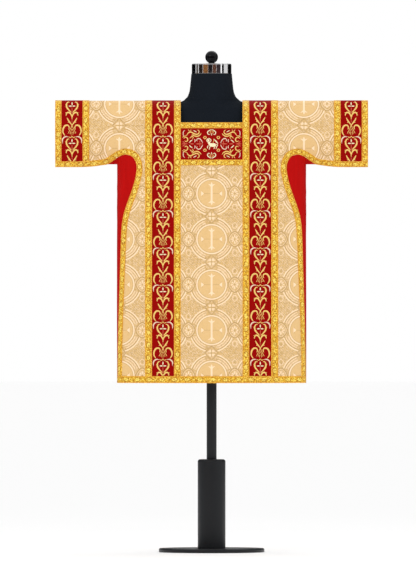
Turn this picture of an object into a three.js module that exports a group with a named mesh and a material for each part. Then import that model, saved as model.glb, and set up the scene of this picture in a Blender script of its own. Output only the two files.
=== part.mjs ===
// A Roman tunicle, the outer vestment of a subdeacon, on a limbless dress form with a round stand.
// Millimetres, +Z up, front towards -Y, the stand's underside on z = 0.
//
// The cloth is laid out like its paper pattern: x runs across and "drop" runs down from the shoulder
// line. The depth of the garment at (x, drop) then lifts the pattern into the hollow, worn shape, so
// seen from the front every piece keeps the outline of its cut.
import * as THREE from 'three';

// ---------- driving sizes of the garment ----------
const SHOULDER_HEIGHT = 1625; // shoulder line above the floor
const LENGTH = 1016; // shoulder line to hem
const SIDE = 341; // half width of the body, at the fold of the side gussets
const REACH = 563; // half span, cuff to cuff
const UNDERARM_DROP = 230; // shoulder line to the underarm
const CUFF_DROP = 239; // depth of the sleeve at the cuff
const CUFF_FLARE = { from: 370, to: 450 }; // where the lower sleeve edge dips from one to the other
const NECK = { half: 111, front: 80, back: 42 }; // square neck opening
const CLAVUS = { inner: 111, red: 135, outer: 214, end: 239 }; // upright bands, measured from the middle
const CUFF_BAND = { inner: 440, red: 464, outer: 540, end: 563 }; // bands round the sleeves
const EDGE_BRAID = 21; // braid on the neck, the sleeves and the armholes
const SIDE_BRAID = { width: 15.5, from: 200, to: 900 }; // seen from the front it narrows down the side
const APPAREL = { top: NECK.front + EDGE_BRAID, bottom: 213.5 }; // red panel on the chest
const HEM_BRAID = 25;

// ---------- cloth ----------
const CLOTH = 2; // brocade with its lining
const GUSSET_CLOTH = 1.5;
const BAND_CLOTH = 0.9;
const BRAID_CLOTH = 1.5;
const GAP = 0.3; // between pieces that meet
const SEAM = 0.3; // half of the gap between front and back at the shoulder line
const GUSSET_GAP = 0.6; // along the rows, which meet the panel at a slant

// ---------- hollow form of the worn garment ----------
const CHEST = { depth: 124, drop: 210, bow: 355 }; // half depth, where it is reached, half width of the bow
const SIDE_ROUNDING = 80; // the higher, the tighter the gusset turns at its fold
const SLEEVE_DEPTH = { cuff: 42, shoulder: 60 }; // half depths of the sleeve
const SLEEVE_EDGE = 2.3; // half the opening between the sewn lower edges
const KNIFE = 1.6; // how sharply the sleeve closes towards its lower edge
const UNION = 5; // how crisply the sleeve joins the body

// Soft flutes in the lower body: middle, half width, depth, and the drop where each begins.
const FLUTES = [
  { side: 1, x: -292, half: 52, depth: 5.0, from: 430 },
  { side: 1, x: -60, half: 70, depth: 2.6, from: 560 },
  { side: 1, x: 76, half: 62, depth: 2.2, from: 640 },
  { side: 1, x: 288, half: 56, depth: 4.2, from: 480 },
  { side: -1, x: -278, half: 60, depth: 5.5, from: 400 },
  { side: -1, x: -84, half: 76, depth: 4.4, from: 470 },
  { side: -1, x: 52, half: 66, depth: 3.6, from: 560 },
  { side: -1, x: 282, half: 54, depth: 6.0, from: 450 },
];

// The lower, outer edge of one half of the front: along the sleeve, round the armhole, down the side.
const EDGE = [
  { x: 640, drop: 239 },
  { x: REACH, drop: 239 },
  { x: 450, drop: 238 },
  { x: 403, drop: 233.5 },
  { x: 376, drop: 229 },
  { x: 349, drop: 212 },
  { x: 328, drop: 199.5 },
  { x: 306, drop: 194.5 },
  { x: 284, drop: 203 },
  { x: 273, drop: 221 },
  { x: 269, drop: 243 },
  { x: 274.5, drop: 281 },
  { x: 286, drop: 322 },
  { x: 301.5, drop: 365 },
  { x: 315.5, drop: 408 },
  { x: 322.5, drop: 451 },
  { x: 325.5, drop: 501 },
  { x: 328, drop: 588 },
  { x: 332, drop: 717 },
  { x: 336.3, drop: 880 },
  { x: 338, drop: LENGTH },
  { x: 338, drop: 1150 },
];

// ---------- dress form: horizontal sections, from the neck down ----------
const FORM_SECTIONS = [
  { drop: -97, half: 72, deep: 65.5, round: 2 },
  { drop: -70, half: 74.5, deep: 66.5, round: 2 },
  { drop: -42, half: 77.5, deep: 67.5, round: 2 },
  { drop: -20, half: 83.5, deep: 68, round: 1.9 },
  { drop: -6, half: 94, deep: 68, round: 1.65 },
  { drop: 5, half: 111, deep: 68, round: 1.45 },
  { drop: 14, half: 141, deep: 68, round: 1.4 },
  { drop: 26, half: 172, deep: 69, round: 1.6 },
  { drop: 42, half: 190, deep: 71, round: 1.9 },
  { drop: 64, half: 200, deep: 81, round: 2.1 },
  { drop: 98, half: 203, deep: 96, round: 2.2 },
  { drop: 150, half: 194, deep: 108, round: 2.3 },
  { drop: 220, half: 180, deep: 114, round: 2.3 },
  { drop: 320, half: 168, deep: 108, round: 2.3 },
  { drop: 430, half: 156, deep: 99, round: 2.3 },
  { drop: 540, half: 165, deep: 104, round: 2.3 },
  { drop: 640, half: 177, deep: 110, round: 2.3 },
  { drop: 730, half: 173, deep: 107, round: 2.3 },
  { drop: 756, half: 164, deep: 100, round: 2.3 },
  { drop: 762, half: 150, deep: 90, round: 2.3 },
];
const FORM_FACETS = 32;
const NECK_RING = { radius: 71.3, height: 33, deep: 65 };
const NECK_CAP = { height: 4, inset: 1.5, edge: 2 };
const FINIAL = { radius: 23, stem: 9, stemHeight: 0.5 };
const COLUMN = { radius: 50, height: 320, shoulder: 10 };
const POLE_RADIUS = 18;
const BASE = { radius: 190, height: 14, bevel: 4 };
const ROUND_FACETS = 40;

// ---------- shape of the worn cloth ----------
const smooth = (t) => {
  const s = Math.min(1, Math.max(0, t));
  return s * s * (3 - 2 * s);
};

function sleeveEdgeDrop(x) {
  const along = (Math.abs(x) - CUFF_FLARE.from) / (CUFF_FLARE.to - CUFF_FLARE.from);
  return UNDERARM_DROP + (CUFF_DROP - UNDERARM_DROP) * smooth(along);
}

function bodyDepth(x, drop) {
  const bow = Math.sqrt(Math.max(0, 1 - (x / CHEST.bow) ** 2));
  const fold = Math.sqrt(Math.max(0, 1 - (Math.abs(x) / SIDE) ** SIDE_ROUNDING));
  const shoulder = drop < CHEST.drop ? Math.sqrt(1 - (1 - drop / CHEST.drop) ** 2) : 1;
  return CHEST.depth * bow * fold * shoulder;
}

function sleeveDepth(x, drop) {
  const toShoulder = smooth((REACH - Math.abs(x)) / (REACH - SIDE));
  const deep = SLEEVE_DEPTH.cuff + (SLEEVE_DEPTH.shoulder - SLEEVE_DEPTH.cuff) * toShoulder;
  const down = (2 * drop) / sleeveEdgeDrop(x) - 1; // -1 at the shoulder line, 1 at the lower edge
  if (down >= 1) return SLEEVE_EDGE;
  if (down < 0) return deep * Math.sqrt(1 - down * down);
  return SLEEVE_EDGE + (deep - SLEEVE_EDGE) * (1 - down ** KNIFE);
}

function fluteDepth(x, drop, side) {
  let total = 0;
  for (const flute of FLUTES) {
    const across = (x - flute.x) / flute.half;
    if (flute.side !== side || Math.abs(across) >= 1) continue;
    const bell = (1 - across * across) ** 2;
    total += flute.depth * bell * smooth((drop - flute.from) / (LENGTH - flute.from));
  }
  return total;
}

// Half depth of the hollow garment at a place on the pattern, on the front (side 1) or back (side -1).
function depth(x, drop, side) {
  if (drop <= 0) return 0;
  const joined = bodyDepth(x, drop) ** UNION + sleeveDepth(x, drop) ** UNION;
  return joined ** (1 / UNION) - fluteDepth(x, drop, side);
}

// A point of the cloth's outer face and the direction that faces out. side 0 is the shoulder line itself.
function clothPoint(x, drop, side) {
  const step = 0.5;
  const deep = side === 0 ? 0 : depth(x, drop, side) + SEAM;
  const place = new THREE.Vector3(x, -side * deep, SHOULDER_HEIGHT - drop);
  if (side === 0) return { place, out: new THREE.Vector3(0, 0, 1) };
  const acrossSlope = (depth(x + step, drop, side) - depth(x - step, drop, side)) / (2 * step);
  const above = Math.max(0, drop - step);
  const downSlope = (depth(x, drop + step, side) - depth(x, above, side)) / (drop + step - above);
  return { place, out: new THREE.Vector3(-acrossSlope, -side, downSlope).normalize() };
}

// ---------- the pattern's lines ----------
const EDGE_STEPS = 2400;
const edgeCurve = new THREE.CatmullRomCurve3(
  EDGE.map((point) => new THREE.Vector3(point.x, point.drop, 0)),
);

function edgeBraidWidth(drop) {
  const down = smooth((drop - SIDE_BRAID.from) / (SIDE_BRAID.to - SIDE_BRAID.from));
  return EDGE_BRAID + (SIDE_BRAID.width - EDGE_BRAID) * down;
}

// Matching samples of the edge (outer) and of the braid's inner side, along the cut.
const edgeSamples = Array.from({ length: EDGE_STEPS + 1 }, (_, i) => {
  const t = i / EDGE_STEPS;
  const outer = edgeCurve.getPoint(t);
  const along = edgeCurve.getTangent(t);
  const width = edgeBraidWidth(outer.y);
  return { outer: [outer.x, outer.y], inner: [outer.x - along.y * width, outer.y + along.x * width] };
});
const peak = edgeSamples.reduce((best, s, i) => {
  return s.inner[0] < SIDE && s.inner[1] < edgeSamples[best].inner[1] ? i : best;
}, edgeSamples.findIndex((s) => s.inner[0] < SIDE));
const PEAK = edgeSamples[peak].inner; // highest point of the braid's inner side over the armhole

// The sample where one coordinate of the inner side passes a value, between two samples.
function sampleWhere(axis, value, from, to) {
  for (let i = from; i < to; i += 1) {
    const a = edgeSamples[i];
    const b = edgeSamples[i + 1];
    const low = a.inner[axis] - value;
    const high = b.inner[axis] - value;
    if (low === 0 || low * high < 0) {
      const mix = low / (low - high);
      const blend = (p, q) => p.map((v, k) => v + (q[k] - v) * mix);
      return { inner: blend(a.inner, b.inner), outer: blend(a.outer, b.outer) };
    }
  }
  throw new Error(`the edge never passes ${value}`);
}

const PEAK_X = PEAK[0];
const BACK_BRAID = NECK.back + EDGE_BRAID; // lower side of the back neck's braid
const UPPER_DROPS = [0, 2, 8, 20, NECK.back, BACK_BRAID, NECK.front, APPAREL.top, 135, PEAK[1]];
const LOWER_DROPS = [
  PEAK[1] + 3, 183, 195, APPAREL.bottom, APPAREL.bottom + EDGE_BRAID, 252, 277, 303, 332, 367, 407, 452,
  502, 590, 717, 860, LENGTH - HEM_BRAID, LENGTH,
];
const BODY_XS = [0, 55, CLAVUS.inner, CLAVUS.red, 174, CLAVUS.outer, CLAVUS.end];
const SLEEVE_XS = [
  324, 343, 363, 386, 413, CUFF_BAND.inner, CUFF_BAND.red, 502, CUFF_BAND.outer, CUFF_BAND.end,
];

function bandAt(x) {
  if (x > CLAVUS.inner && x < CLAVUS.red) return 'clavus_inner_braid';
  if (x > CLAVUS.red && x < CLAVUS.outer) return 'clavus';
  if (x > CLAVUS.outer && x < CLAVUS.end) return 'clavus_outer_braid';
  if (x > CUFF_BAND.inner && x < CUFF_BAND.red) return 'cuff_inner_braid';
  if (x > CUFF_BAND.red && x < CUFF_BAND.outer) return 'cuff_band';
  if (x > CUFF_BAND.outer && x < CUFF_BAND.end) return 'cuff_outer_braid';
  return 'brocade';
}

function middleTrim(x, drop) {
  if (x > CLAVUS.inner) return null;
  if (drop > NECK.front && drop < APPAREL.top) return 'neck_braid';
  if (drop > APPAREL.top && drop < APPAREL.bottom) return 'apparel';
  if (drop > APPAREL.bottom && drop < APPAREL.bottom + EDGE_BRAID) return 'apparel_braid';
  return null;
}

// The pattern of one half (x from the middle to the cuff) as four-sided cells, each with its trim.
function halfPattern() {
  const cells = [];
  const add = (lowLeft, lowRight, highRight, highLeft, trim) => {
    const corners = [lowLeft, lowRight, highRight, highLeft];
    const middle = [0, 1].map((k) => corners.reduce((sum, c) => sum + c[k] / 4, 0));
    cells.push({ corners, middle, trim: trim ?? middleTrim(...middle) ?? bandAt(middle[0]) });
  };
  const ladder = (above, below, trim) => {
    for (let i = 0; i + 1 < above.length; i += 1) add(below[i], below[i + 1], above[i + 1], above[i], trim);
  };
  const upperXs = [...BODY_XS, (CLAVUS.end + PEAK_X) / 2, PEAK_X];
  for (let r = 0; r + 1 < UPPER_DROPS.length; r += 1) {
    const line = (drop) => upperXs.map((x) => [x, drop]);
    ladder(line(UPPER_DROPS[r]), line(UPPER_DROPS[r + 1]));
  }
  // Below the armhole's top the rows end on the inner side of the edge braid.
  const start = edgeSamples[peak];
  const sideEnds = [start, ...LOWER_DROPS.map((drop) => sampleWhere(1, drop, peak + 1, EDGE_STEPS))];
  const sideDrops = [PEAK[1], ...LOWER_DROPS];
  const row = (r) => {
    const end = sideEnds[r].inner[0];
    return [...BODY_XS, (CLAVUS.end + end) / 2, end].map((x) => [x, sideDrops[r]]);
  };
  for (let r = 0; r + 1 < sideDrops.length; r += 1) {
    const hem = r + 2 === sideDrops.length ? 'hem_braid' : undefined;
    ladder(row(r), row(r + 1), hem);
    const [a, b] = [sideEnds[r], sideEnds[r + 1]];
    add(b.inner, b.outer, a.outer, a.inner, hem ?? 'edge_braid');
  }
  // The sleeve's columns run from the shoulder line to the inner side of the edge braid.
  const columnEnds = [start, ...SLEEVE_XS.map((x) => sampleWhere(0, x, 0, peak))];
  const columnXs = [PEAK_X, ...SLEEVE_XS];
  const column = (c) => UPPER_DROPS.map((drop) => [columnXs[c], (drop / PEAK[1]) * columnEnds[c].inner[1]]);
  for (let c = 0; c + 1 < columnXs.length; c += 1) {
    const [near, far] = [column(c), column(c + 1)];
    for (let r = 0; r + 1 < near.length; r += 1) add(near[r + 1], far[r + 1], far[r], near[r]);
    const [a, b] = [columnEnds[c], columnEnds[c + 1]];
    add(a.outer, b.outer, b.inner, a.inner, 'edge_braid');
  }
  return { cells, sideEnds, columnEnds };
}

const pattern = halfPattern();
const isNeck = ({ middle: [x, drop] }, side) => x < NECK.half && drop < (side > 0 ? NECK.front : NECK.back);

// ---------- closed walls ----------
const keyOf = (point) => point.map((v) => v.toFixed(3)).join(' ');

// Moves the outline of a set of flat cells inwards, so that neighbouring pieces keep a gap.
function shrink(cells, by) {
  const edges = new Map();
  for (const cell of cells) {
    cell.forEach((corner, i) => {
      const next = cell[(i + 1) % cell.length];
      edges.set(`${keyOf(corner)}|${keyOf(next)}`, [corner, next]);
    });
  }
  const inward = new Map();
  for (const [key, [from, to]] of edges) {
    const [a, b] = key.split('|');
    if (edges.has(`${b}|${a}`)) continue;
    const run = [to[0] - from[0], to[1] - from[1]];
    const size = Math.hypot(...run);
    // Cells run anticlockwise with x to the right and the drop downwards.
    const turn = [run[1] / size, -run[0] / size];
    for (const end of [a, b]) inward.set(end, [...(inward.get(end) ?? []), turn]);
  }
  return cells.map((cell) => cell.map((corner) => {
    const turns = inward.get(keyOf(corner));
    if (!turns) return corner;
    const [p, q] = [turns[0], turns[turns.length - 1]];
    const mitre = by / (1 + p[0] * q[0] + p[1] * q[1]);
    return [corner[0] + (p[0] + q[0]) * mitre, corner[1] + (p[1] + q[1]) * mitre, ...corner.slice(2)];
  }));
}

// A closed wall over four-sided cells of {place, out} points, from one distance along "out" to another.
function wall(cells, inner, outer) {
  const index = new Map();
  const points = [];
  const faces = cells.map((cell) => cell.map((point) => {
    const key = keyOf(point.place.toArray());
    if (!index.has(key)) {
      index.set(key, points.length);
      points.push(point);
    }
    return index.get(key);
  }));
  const count = points.length;
  const corners = [outer, inner].flatMap((offset) => points.map(({ place, out }) => {
    return place.clone().addScaledVector(out, offset);
  }));
  const triangles = [];
  const addQuad = (quad) => {
    const [first, second, third, fourth] = quad.map((i) => corners[i]);
    const turn = first.distanceTo(third) <= second.distanceTo(fourth) ? 0 : 1; // the shorter diagonal
    const [a, b, c, d] = [...quad.slice(turn), ...quad.slice(0, turn)];
    triangles.push(a, b, c, a, c, d);
  };
  const borders = new Set();
  for (const face of faces) {
    addQuad(face);
    addQuad(face.map((i) => i + count).reverse());
    face.forEach((u, i) => borders.add(`${u} ${face[(i + 1) % face.length]}`));
  }
  for (const border of borders) {
    const [u, v] = border.split(' ').map(Number);
    if (!borders.has(`${v} ${u}`)) addQuad([v, u, u + count, v + count]);
  }
  const geometry = new THREE.BufferGeometry();
  geometry.setAttribute('position', new THREE.Float32BufferAttribute(corners.flatMap((v) => v.toArray()), 3));
  geometry.setIndex(triangles);
  geometry.computeVertexNormals();
  return geometry;
}

// Flat cells of one trim, or of the cloth itself, on one side and one half, facing out.
function flatCells(keep, side, half) {
  const chosen = pattern.cells.filter((cell) => keep(cell, side));
  return chosen.map(({ corners }) => {
    const placed = corners.map(([x, drop]) => [half * x, side * drop]);
    return half * side > 0 ? placed : placed.reverse();
  });
}

// Lifts flat cells onto the worn shape. In the flat layout the back lies above the shoulder line, so its
// drops are negative there; cloth that stops at the shoulder line names its side.
function lift(cells, side) {
  return cells.map((cell) => cell.map(([x, drop]) => {
    return clothPoint(x, Math.abs(drop), side ?? (Math.abs(drop) < 0.01 ? 0 : Math.sign(drop)));
  }));
}

// ---------- materials ----------
const material = (color, roughness, metalness = 0) => {
  return new THREE.MeshStandardMaterial({ color, roughness, metalness });
};
const MATERIALS = {
  brocade: material(0xecc990, 0.55),
  satin: material(0xb81414, 0.42),
  band: material(0xa01010, 0.6),
  braid: material(0xe9b63a, 0.45, 0.1),
  jersey: material(0x1c2229, 0.85),
  chrome: material(0xb9bcc0, 0.15, 1),
  gloss: material(0x101216, 0.12),
  stand: material(0x15171a, 0.45, 0.3),
};

const tunicle = new THREE.Group();
function addPiece(name, geometry, finish) {
  const mesh = new THREE.Mesh(geometry, MATERIALS[finish]);
  mesh.name = name;
  tunicle.add(mesh);
  return mesh;
}

const HALVES = [[1, 'left'], [-1, 'right']]; // the wearer's left is at +X
const SIDES = [[1, 'front'], [-1, 'back']];

// ---------- front and back ----------
for (const [side, sideName] of SIDES) {
  const cells = HALVES.flatMap(([half]) => flatCells((cell) => !isNeck(cell, side), side, half));
  addPiece(sideName, wall(lift(cells, side), -CLOTH, 0), 'brocade');
}

// ---------- trims ----------
// A trim that runs over the shoulder, or stays on one side, lies on the cloth's own points moved out.
function addTrim(name, cells, thick, finish) {
  addPiece(name, wall(lift(shrink(cells, GAP / 2)), GAP, GAP + thick), finish);
}

const overShoulder = (trim, half) => SIDES.flatMap(([side]) => flatCells((cell) => {
  return bandAt(cell.middle[0]) === trim && !['hem_braid', 'edge_braid'].includes(cell.trim);
}, side, half));
for (const [half, halfName] of HALVES) {
  for (const band of ['clavus', 'cuff_band']) {
    addTrim(`${band}_${halfName}`, overShoulder(band, half), BAND_CLOTH, 'band');
  }
  for (const braid of ['clavus_inner_braid', 'clavus_outer_braid', 'cuff_inner_braid', 'cuff_outer_braid']) {
    addTrim(`${braid}_${halfName}`, overShoulder(braid, half), BRAID_CLOTH, 'braid');
  }
}

const wearsTrim = (trim) => (cell) => cell.trim === trim;
for (const [side, sideName] of SIDES) {
  for (const [half, halfName] of HALVES) {
    const cells = flatCells(wearsTrim('edge_braid'), side, half);
    addTrim(`edge_braid_${sideName}_${halfName}`, cells, BRAID_CLOTH, 'braid');
  }
  const hem = HALVES.flatMap(([half]) => flatCells(wearsTrim('hem_braid'), side, half));
  addTrim(`hem_braid_${sideName}`, hem, BRAID_CLOTH, 'braid');
}
for (const [trim, name, thick, finish] of [
  ['neck_braid', 'neck_braid_front', BRAID_CLOTH, 'braid'],
  ['apparel', 'apparel', BAND_CLOTH, 'band'],
  ['apparel_braid', 'apparel_braid', BRAID_CLOTH, 'braid'],
]) {
  addTrim(name, HALVES.flatMap(([half]) => flatCells(wearsTrim(trim), 1, half)), thick, finish);
}
const isBackNeck = ({ middle: [x, drop] }) => x < NECK.half && drop > NECK.back && drop < BACK_BRAID;
addTrim('neck_braid_back', HALVES.flatMap(([half]) => flatCells(isBackNeck, -1, half)), BRAID_CLOTH, 'braid');

// ---------- side gussets ----------
// Each one fills the underarm and the side between the front's edge and the back's, folded at the side.
const GUSSET_ACROSS = [0, 0.36, 0.66, 0.88, 1];
const GUSSET_TIP_X = 380; // the gusset starts at the pattern's last column before this
const LEVEL_DROP = 332; // below this drop the rows run level

// Rows of the gusset's cut edge, at the panel's own points, each with its place on the fold.
function gussetRows() {
  const sleeveEnds = pattern.columnEnds.slice(1).filter((end) => end.outer[0] < GUSSET_TIP_X).reverse();
  const tipX = sleeveEnds[0].outer[0];
  const peakDrop = pattern.sideEnds[0].outer[1];
  const underarm = sleeveEnds.map(({ outer }) => {
    const foldX = SIDE + ((tipX - SIDE) * (outer[0] - PEAK_X)) / (tipX - PEAK_X);
    return { edge: outer, fold: [foldX, sleeveEdgeDrop(foldX)] };
  });
  const side = pattern.sideEnds.map(({ outer }) => {
    const share = Math.min(1, (outer[1] - peakDrop) / (LEVEL_DROP - peakDrop));
    const foldDrop = Math.max(outer[1], UNDERARM_DROP + share * (LEVEL_DROP - UNDERARM_DROP));
    return { edge: outer, fold: [SIDE, foldDrop] };
  });
  // The cut edge keeps the gap to the panel: it moves along the row, towards the fold.
  return [...underarm, ...side].map(({ edge, fold }) => {
    const size = Math.hypot(fold[0] - edge[0], fold[1] - edge[1]);
    return { edge: edge.map((v, k) => v + ((fold[k] - v) * GUSSET_GAP) / size), fold };
  });
}

function gussetCells(half) {
  const strips = gussetRows().map(({ edge, fold }) => {
    const across = (share, side) => {
      const x = half * (edge[0] + (fold[0] - edge[0]) * Math.sin((share * Math.PI) / 2));
      const drop = edge[1] + (fold[1] - edge[1]) * share;
      if (share === 1) return { place: new THREE.Vector3(x, 0, SHOULDER_HEIGHT - drop) };
      const point = clothPoint(x, drop, side);
      return share === 0 ? point : { place: point.place };
    };
    const front = GUSSET_ACROSS.map((share) => across(share, 1));
    const back = GUSSET_ACROSS.slice(0, -1).reverse().map((share) => across(share, -1));
    return [...front, ...back];
  });
  const cells = [];
  for (let r = 0; r + 1 < strips.length; r += 1) {
    for (let c = 0; c + 1 < strips[r].length; c += 1) {
      const cell = [strips[r + 1][c], strips[r + 1][c + 1], strips[r][c + 1], strips[r][c]];
      cells.push(half > 0 ? cell : cell.reverse());
    }
  }
  return withNormals(cells);
}

// Gives each corner that has no outward direction yet the mean of the cells round it.
function withNormals(cells) {
  const sums = new Map();
  for (const cell of cells) {
    const [a, b, c, d] = cell.map((corner) => corner.place);
    const normal = new THREE.Vector3().crossVectors(c.clone().sub(a), d.clone().sub(b)).normalize();
    for (const { place } of cell) {
      const key = keyOf(place.toArray());
      sums.set(key, (sums.get(key) ?? new THREE.Vector3()).add(normal));
    }
  }
  return cells.map((cell) => cell.map(({ place, out }) => {
    return { place, out: out ?? sums.get(keyOf(place.toArray())).clone().normalize() };
  }));
}

for (const [half, halfName] of HALVES) {
  addPiece(`gusset_${halfName}`, wall(gussetCells(half), -GUSSET_CLOTH, 0), 'satin');
}

// ---------- dress form ----------
function formSolid(sections) {
  const rings = sections.map(({ drop, half, deep, round }) => Array.from({ length: FORM_FACETS }, (_, i) => {
    const angle = (2 * Math.PI * i) / FORM_FACETS;
    const [cos, sin] = [Math.cos(angle), Math.sin(angle)];
    const x = half * Math.sign(cos) * Math.abs(cos) ** (2 / round);
    const y = deep * Math.sign(sin) * Math.abs(sin) ** (2 / round);
    return [x, y, SHOULDER_HEIGHT - drop];
  }));
  const first = sections[0];
  const last = sections[sections.length - 1];
  const positions = [...rings.flat(2), 0, 0, SHOULDER_HEIGHT - first.drop, 0, 0, SHOULDER_HEIGHT - last.drop];
  const top = rings.length * FORM_FACETS;
  const triangles = [];
  for (let i = 0; i < FORM_FACETS; i += 1) {
    const next = (i + 1) % FORM_FACETS;
    triangles.push(top, i, next);
    const low = (rings.length - 1) * FORM_FACETS;
    triangles.push(top + 1, low + next, low + i);
    for (let r = 0; r + 1 < rings.length; r += 1) {
      const [a, b] = [r * FORM_FACETS, (r + 1) * FORM_FACETS];
      triangles.push(a + i, b + i, b + next, a + i, b + next, a + next);
    }
  }
  const geometry = new THREE.BufferGeometry();
  geometry.setAttribute('position', new THREE.Float32BufferAttribute(positions, 3));
  geometry.setIndex(triangles);
  geometry.computeVertexNormals();
  return geometry;
}

// A turned piece: profile of [radius, height] from the bottom up, on the axis at both ends.
function turned(profile, bottom) {
  const points = profile.map(([radius, height]) => new THREE.Vector2(radius, height));
  const geometry = new THREE.LatheGeometry(points, ROUND_FACETS);
  geometry.rotateX(Math.PI / 2);
  geometry.translate(0, 0, bottom);
  return geometry;
}

addPiece('form_torso', formSolid(FORM_SECTIONS), 'jersey');

const neckTop = SHOULDER_HEIGHT - FORM_SECTIONS[0].drop;
const ring = turned(
  [[0, 0], [NECK_RING.radius, 0], [NECK_RING.radius, NECK_RING.height], [0, NECK_RING.height]],
  neckTop + GAP,
);
ring.scale(1, NECK_RING.deep / NECK_RING.radius, 1);
addPiece('form_neck_ring', ring, 'chrome');

const capBottom = neckTop + NECK_RING.height + 2 * GAP;
const capRadius = NECK_RING.radius - NECK_CAP.inset;
const cap = turned([
  [0, 0], [capRadius, 0], [capRadius - NECK_CAP.edge, NECK_CAP.height * 0.6],
  [capRadius * 0.6, NECK_CAP.height], [0, NECK_CAP.height],
], capBottom);
cap.scale(1, NECK_RING.deep / NECK_RING.radius, 1);
addPiece('form_neck_cap', cap, 'chrome');

function finialProfile() {
  const { radius, stem, stemHeight } = FINIAL;
  const steps = 12;
  const start = Math.asin(stem / radius);
  const centre = stemHeight + radius * Math.cos(start);
  const ball = Array.from({ length: steps + 1 }, (_, i) => {
    const angle = start + ((Math.PI - start) * i) / steps;
    return [radius * Math.sin(angle), centre - radius * Math.cos(angle)];
  });
  ball[steps][0] = 0;
  return [[0, 0], [stem, 0], ...ball];
}
addPiece('form_finial', turned(finialProfile(), capBottom + NECK_CAP.height + GAP), 'gloss');

// ---------- stand ----------
addPiece('stand_base', turned([
  [0, 0], [BASE.radius, 0], [BASE.radius, BASE.height - BASE.bevel],
  [BASE.radius - BASE.bevel, BASE.height], [0, BASE.height],
], 0), 'stand');
const columnBottom = BASE.height + GAP;
addPiece('stand_column', turned([
  [0, 0], [COLUMN.radius, 0], [COLUMN.radius, COLUMN.height - COLUMN.shoulder],
  [COLUMN.radius - COLUMN.shoulder, COLUMN.height], [0, COLUMN.height],
], columnBottom), 'stand');
const poleBottom = columnBottom + COLUMN.height + GAP;
const formBottom = SHOULDER_HEIGHT - FORM_SECTIONS[FORM_SECTIONS.length - 1].drop;
const poleHeight = formBottom - GAP - poleBottom;
addPiece('stand_pole', turned(
  [[0, 0], [POLE_RADIUS, 0], [POLE_RADIUS, poleHeight], [0, poleHeight]],
  poleBottom,
), 'stand');

export default tunicle;
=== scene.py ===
"""A Roman tunicle on a dress form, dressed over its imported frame.

The garment's pattern lies flat in two coordinates: x across, and the drop down from the shoulder line. The
drop is positive on the front and negative on the back, so a band that runs over the shoulder is one strip.
The depth of the worn garment lifts that pattern into its hollow shape. Metres, front towards -Y.
"""
import math

import bpy
import numpy as np
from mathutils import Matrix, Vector


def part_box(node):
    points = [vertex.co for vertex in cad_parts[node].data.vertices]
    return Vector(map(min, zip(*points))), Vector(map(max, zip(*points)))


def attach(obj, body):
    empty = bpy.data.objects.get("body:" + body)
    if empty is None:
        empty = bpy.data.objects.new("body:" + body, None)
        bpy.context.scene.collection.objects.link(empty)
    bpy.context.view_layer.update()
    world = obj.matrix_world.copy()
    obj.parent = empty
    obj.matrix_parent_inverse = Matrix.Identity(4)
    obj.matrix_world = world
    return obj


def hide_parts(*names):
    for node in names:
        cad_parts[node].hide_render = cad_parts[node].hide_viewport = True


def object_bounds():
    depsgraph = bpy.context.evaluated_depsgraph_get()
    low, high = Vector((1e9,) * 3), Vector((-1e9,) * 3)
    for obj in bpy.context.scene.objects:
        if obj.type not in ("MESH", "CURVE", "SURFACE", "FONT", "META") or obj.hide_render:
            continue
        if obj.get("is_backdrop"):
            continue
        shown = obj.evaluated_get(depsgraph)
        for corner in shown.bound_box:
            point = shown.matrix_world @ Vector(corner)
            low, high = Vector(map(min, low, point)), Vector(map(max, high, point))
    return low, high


bl_info = {
    "name": "Tunicle",
    "version": (1, 0, 0),
    "blender": (4, 5, 0),
    "location": "View3D > Sidebar > Tunicle",
    "description": "A brocade tunicle with orphrey bands and galloon on a dress form",
    "category": "Object",
}

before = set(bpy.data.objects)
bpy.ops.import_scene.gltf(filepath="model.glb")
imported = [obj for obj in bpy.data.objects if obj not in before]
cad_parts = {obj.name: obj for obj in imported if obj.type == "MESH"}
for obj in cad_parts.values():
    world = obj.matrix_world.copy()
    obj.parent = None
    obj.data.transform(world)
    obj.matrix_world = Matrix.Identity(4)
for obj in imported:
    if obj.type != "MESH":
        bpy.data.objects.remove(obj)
CAD_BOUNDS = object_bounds()

MM = 0.001
FRONT, BACK = 1, -1
LEFT, RIGHT = 1, -1  # the wearer's left is at +X
SIDE_NAMES = {FRONT: "front", BACK: "back"}
HALF_NAMES = {LEFT: "left", RIGHT: "right"}

# ---------- the garment's sizes, the same as its solids have ----------
SHOULDER_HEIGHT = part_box("front")[1][2]
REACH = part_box("front")[1][0]
LENGTH = SHOULDER_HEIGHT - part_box("front")[0][2]
SIDE = 0.341
UNDERARM_DROP, CUFF_DROP = 0.230, 0.239
CUFF_FLARE = (0.370, 0.450)
NECK_HALF, NECK_FRONT, NECK_BACK = 0.111, 0.080, 0.042
CLAVUS = {"inner": 0.111, "red": 0.135, "outer": 0.214, "end": 0.239}
CUFF_BAND = {"inner": 0.440, "red": 0.464, "outer": 0.540, "end": REACH}
EDGE_BRAID, HEM_BRAID = 0.021, 0.025
SIDE_BRAID = {"width": 0.0155, "from": 0.200, "to": 0.900}
APPAREL = (NECK_FRONT + EDGE_BRAID, 0.2135)
BAND_RISE, TRIM_GAP = 0.0009, 0.0003

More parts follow.
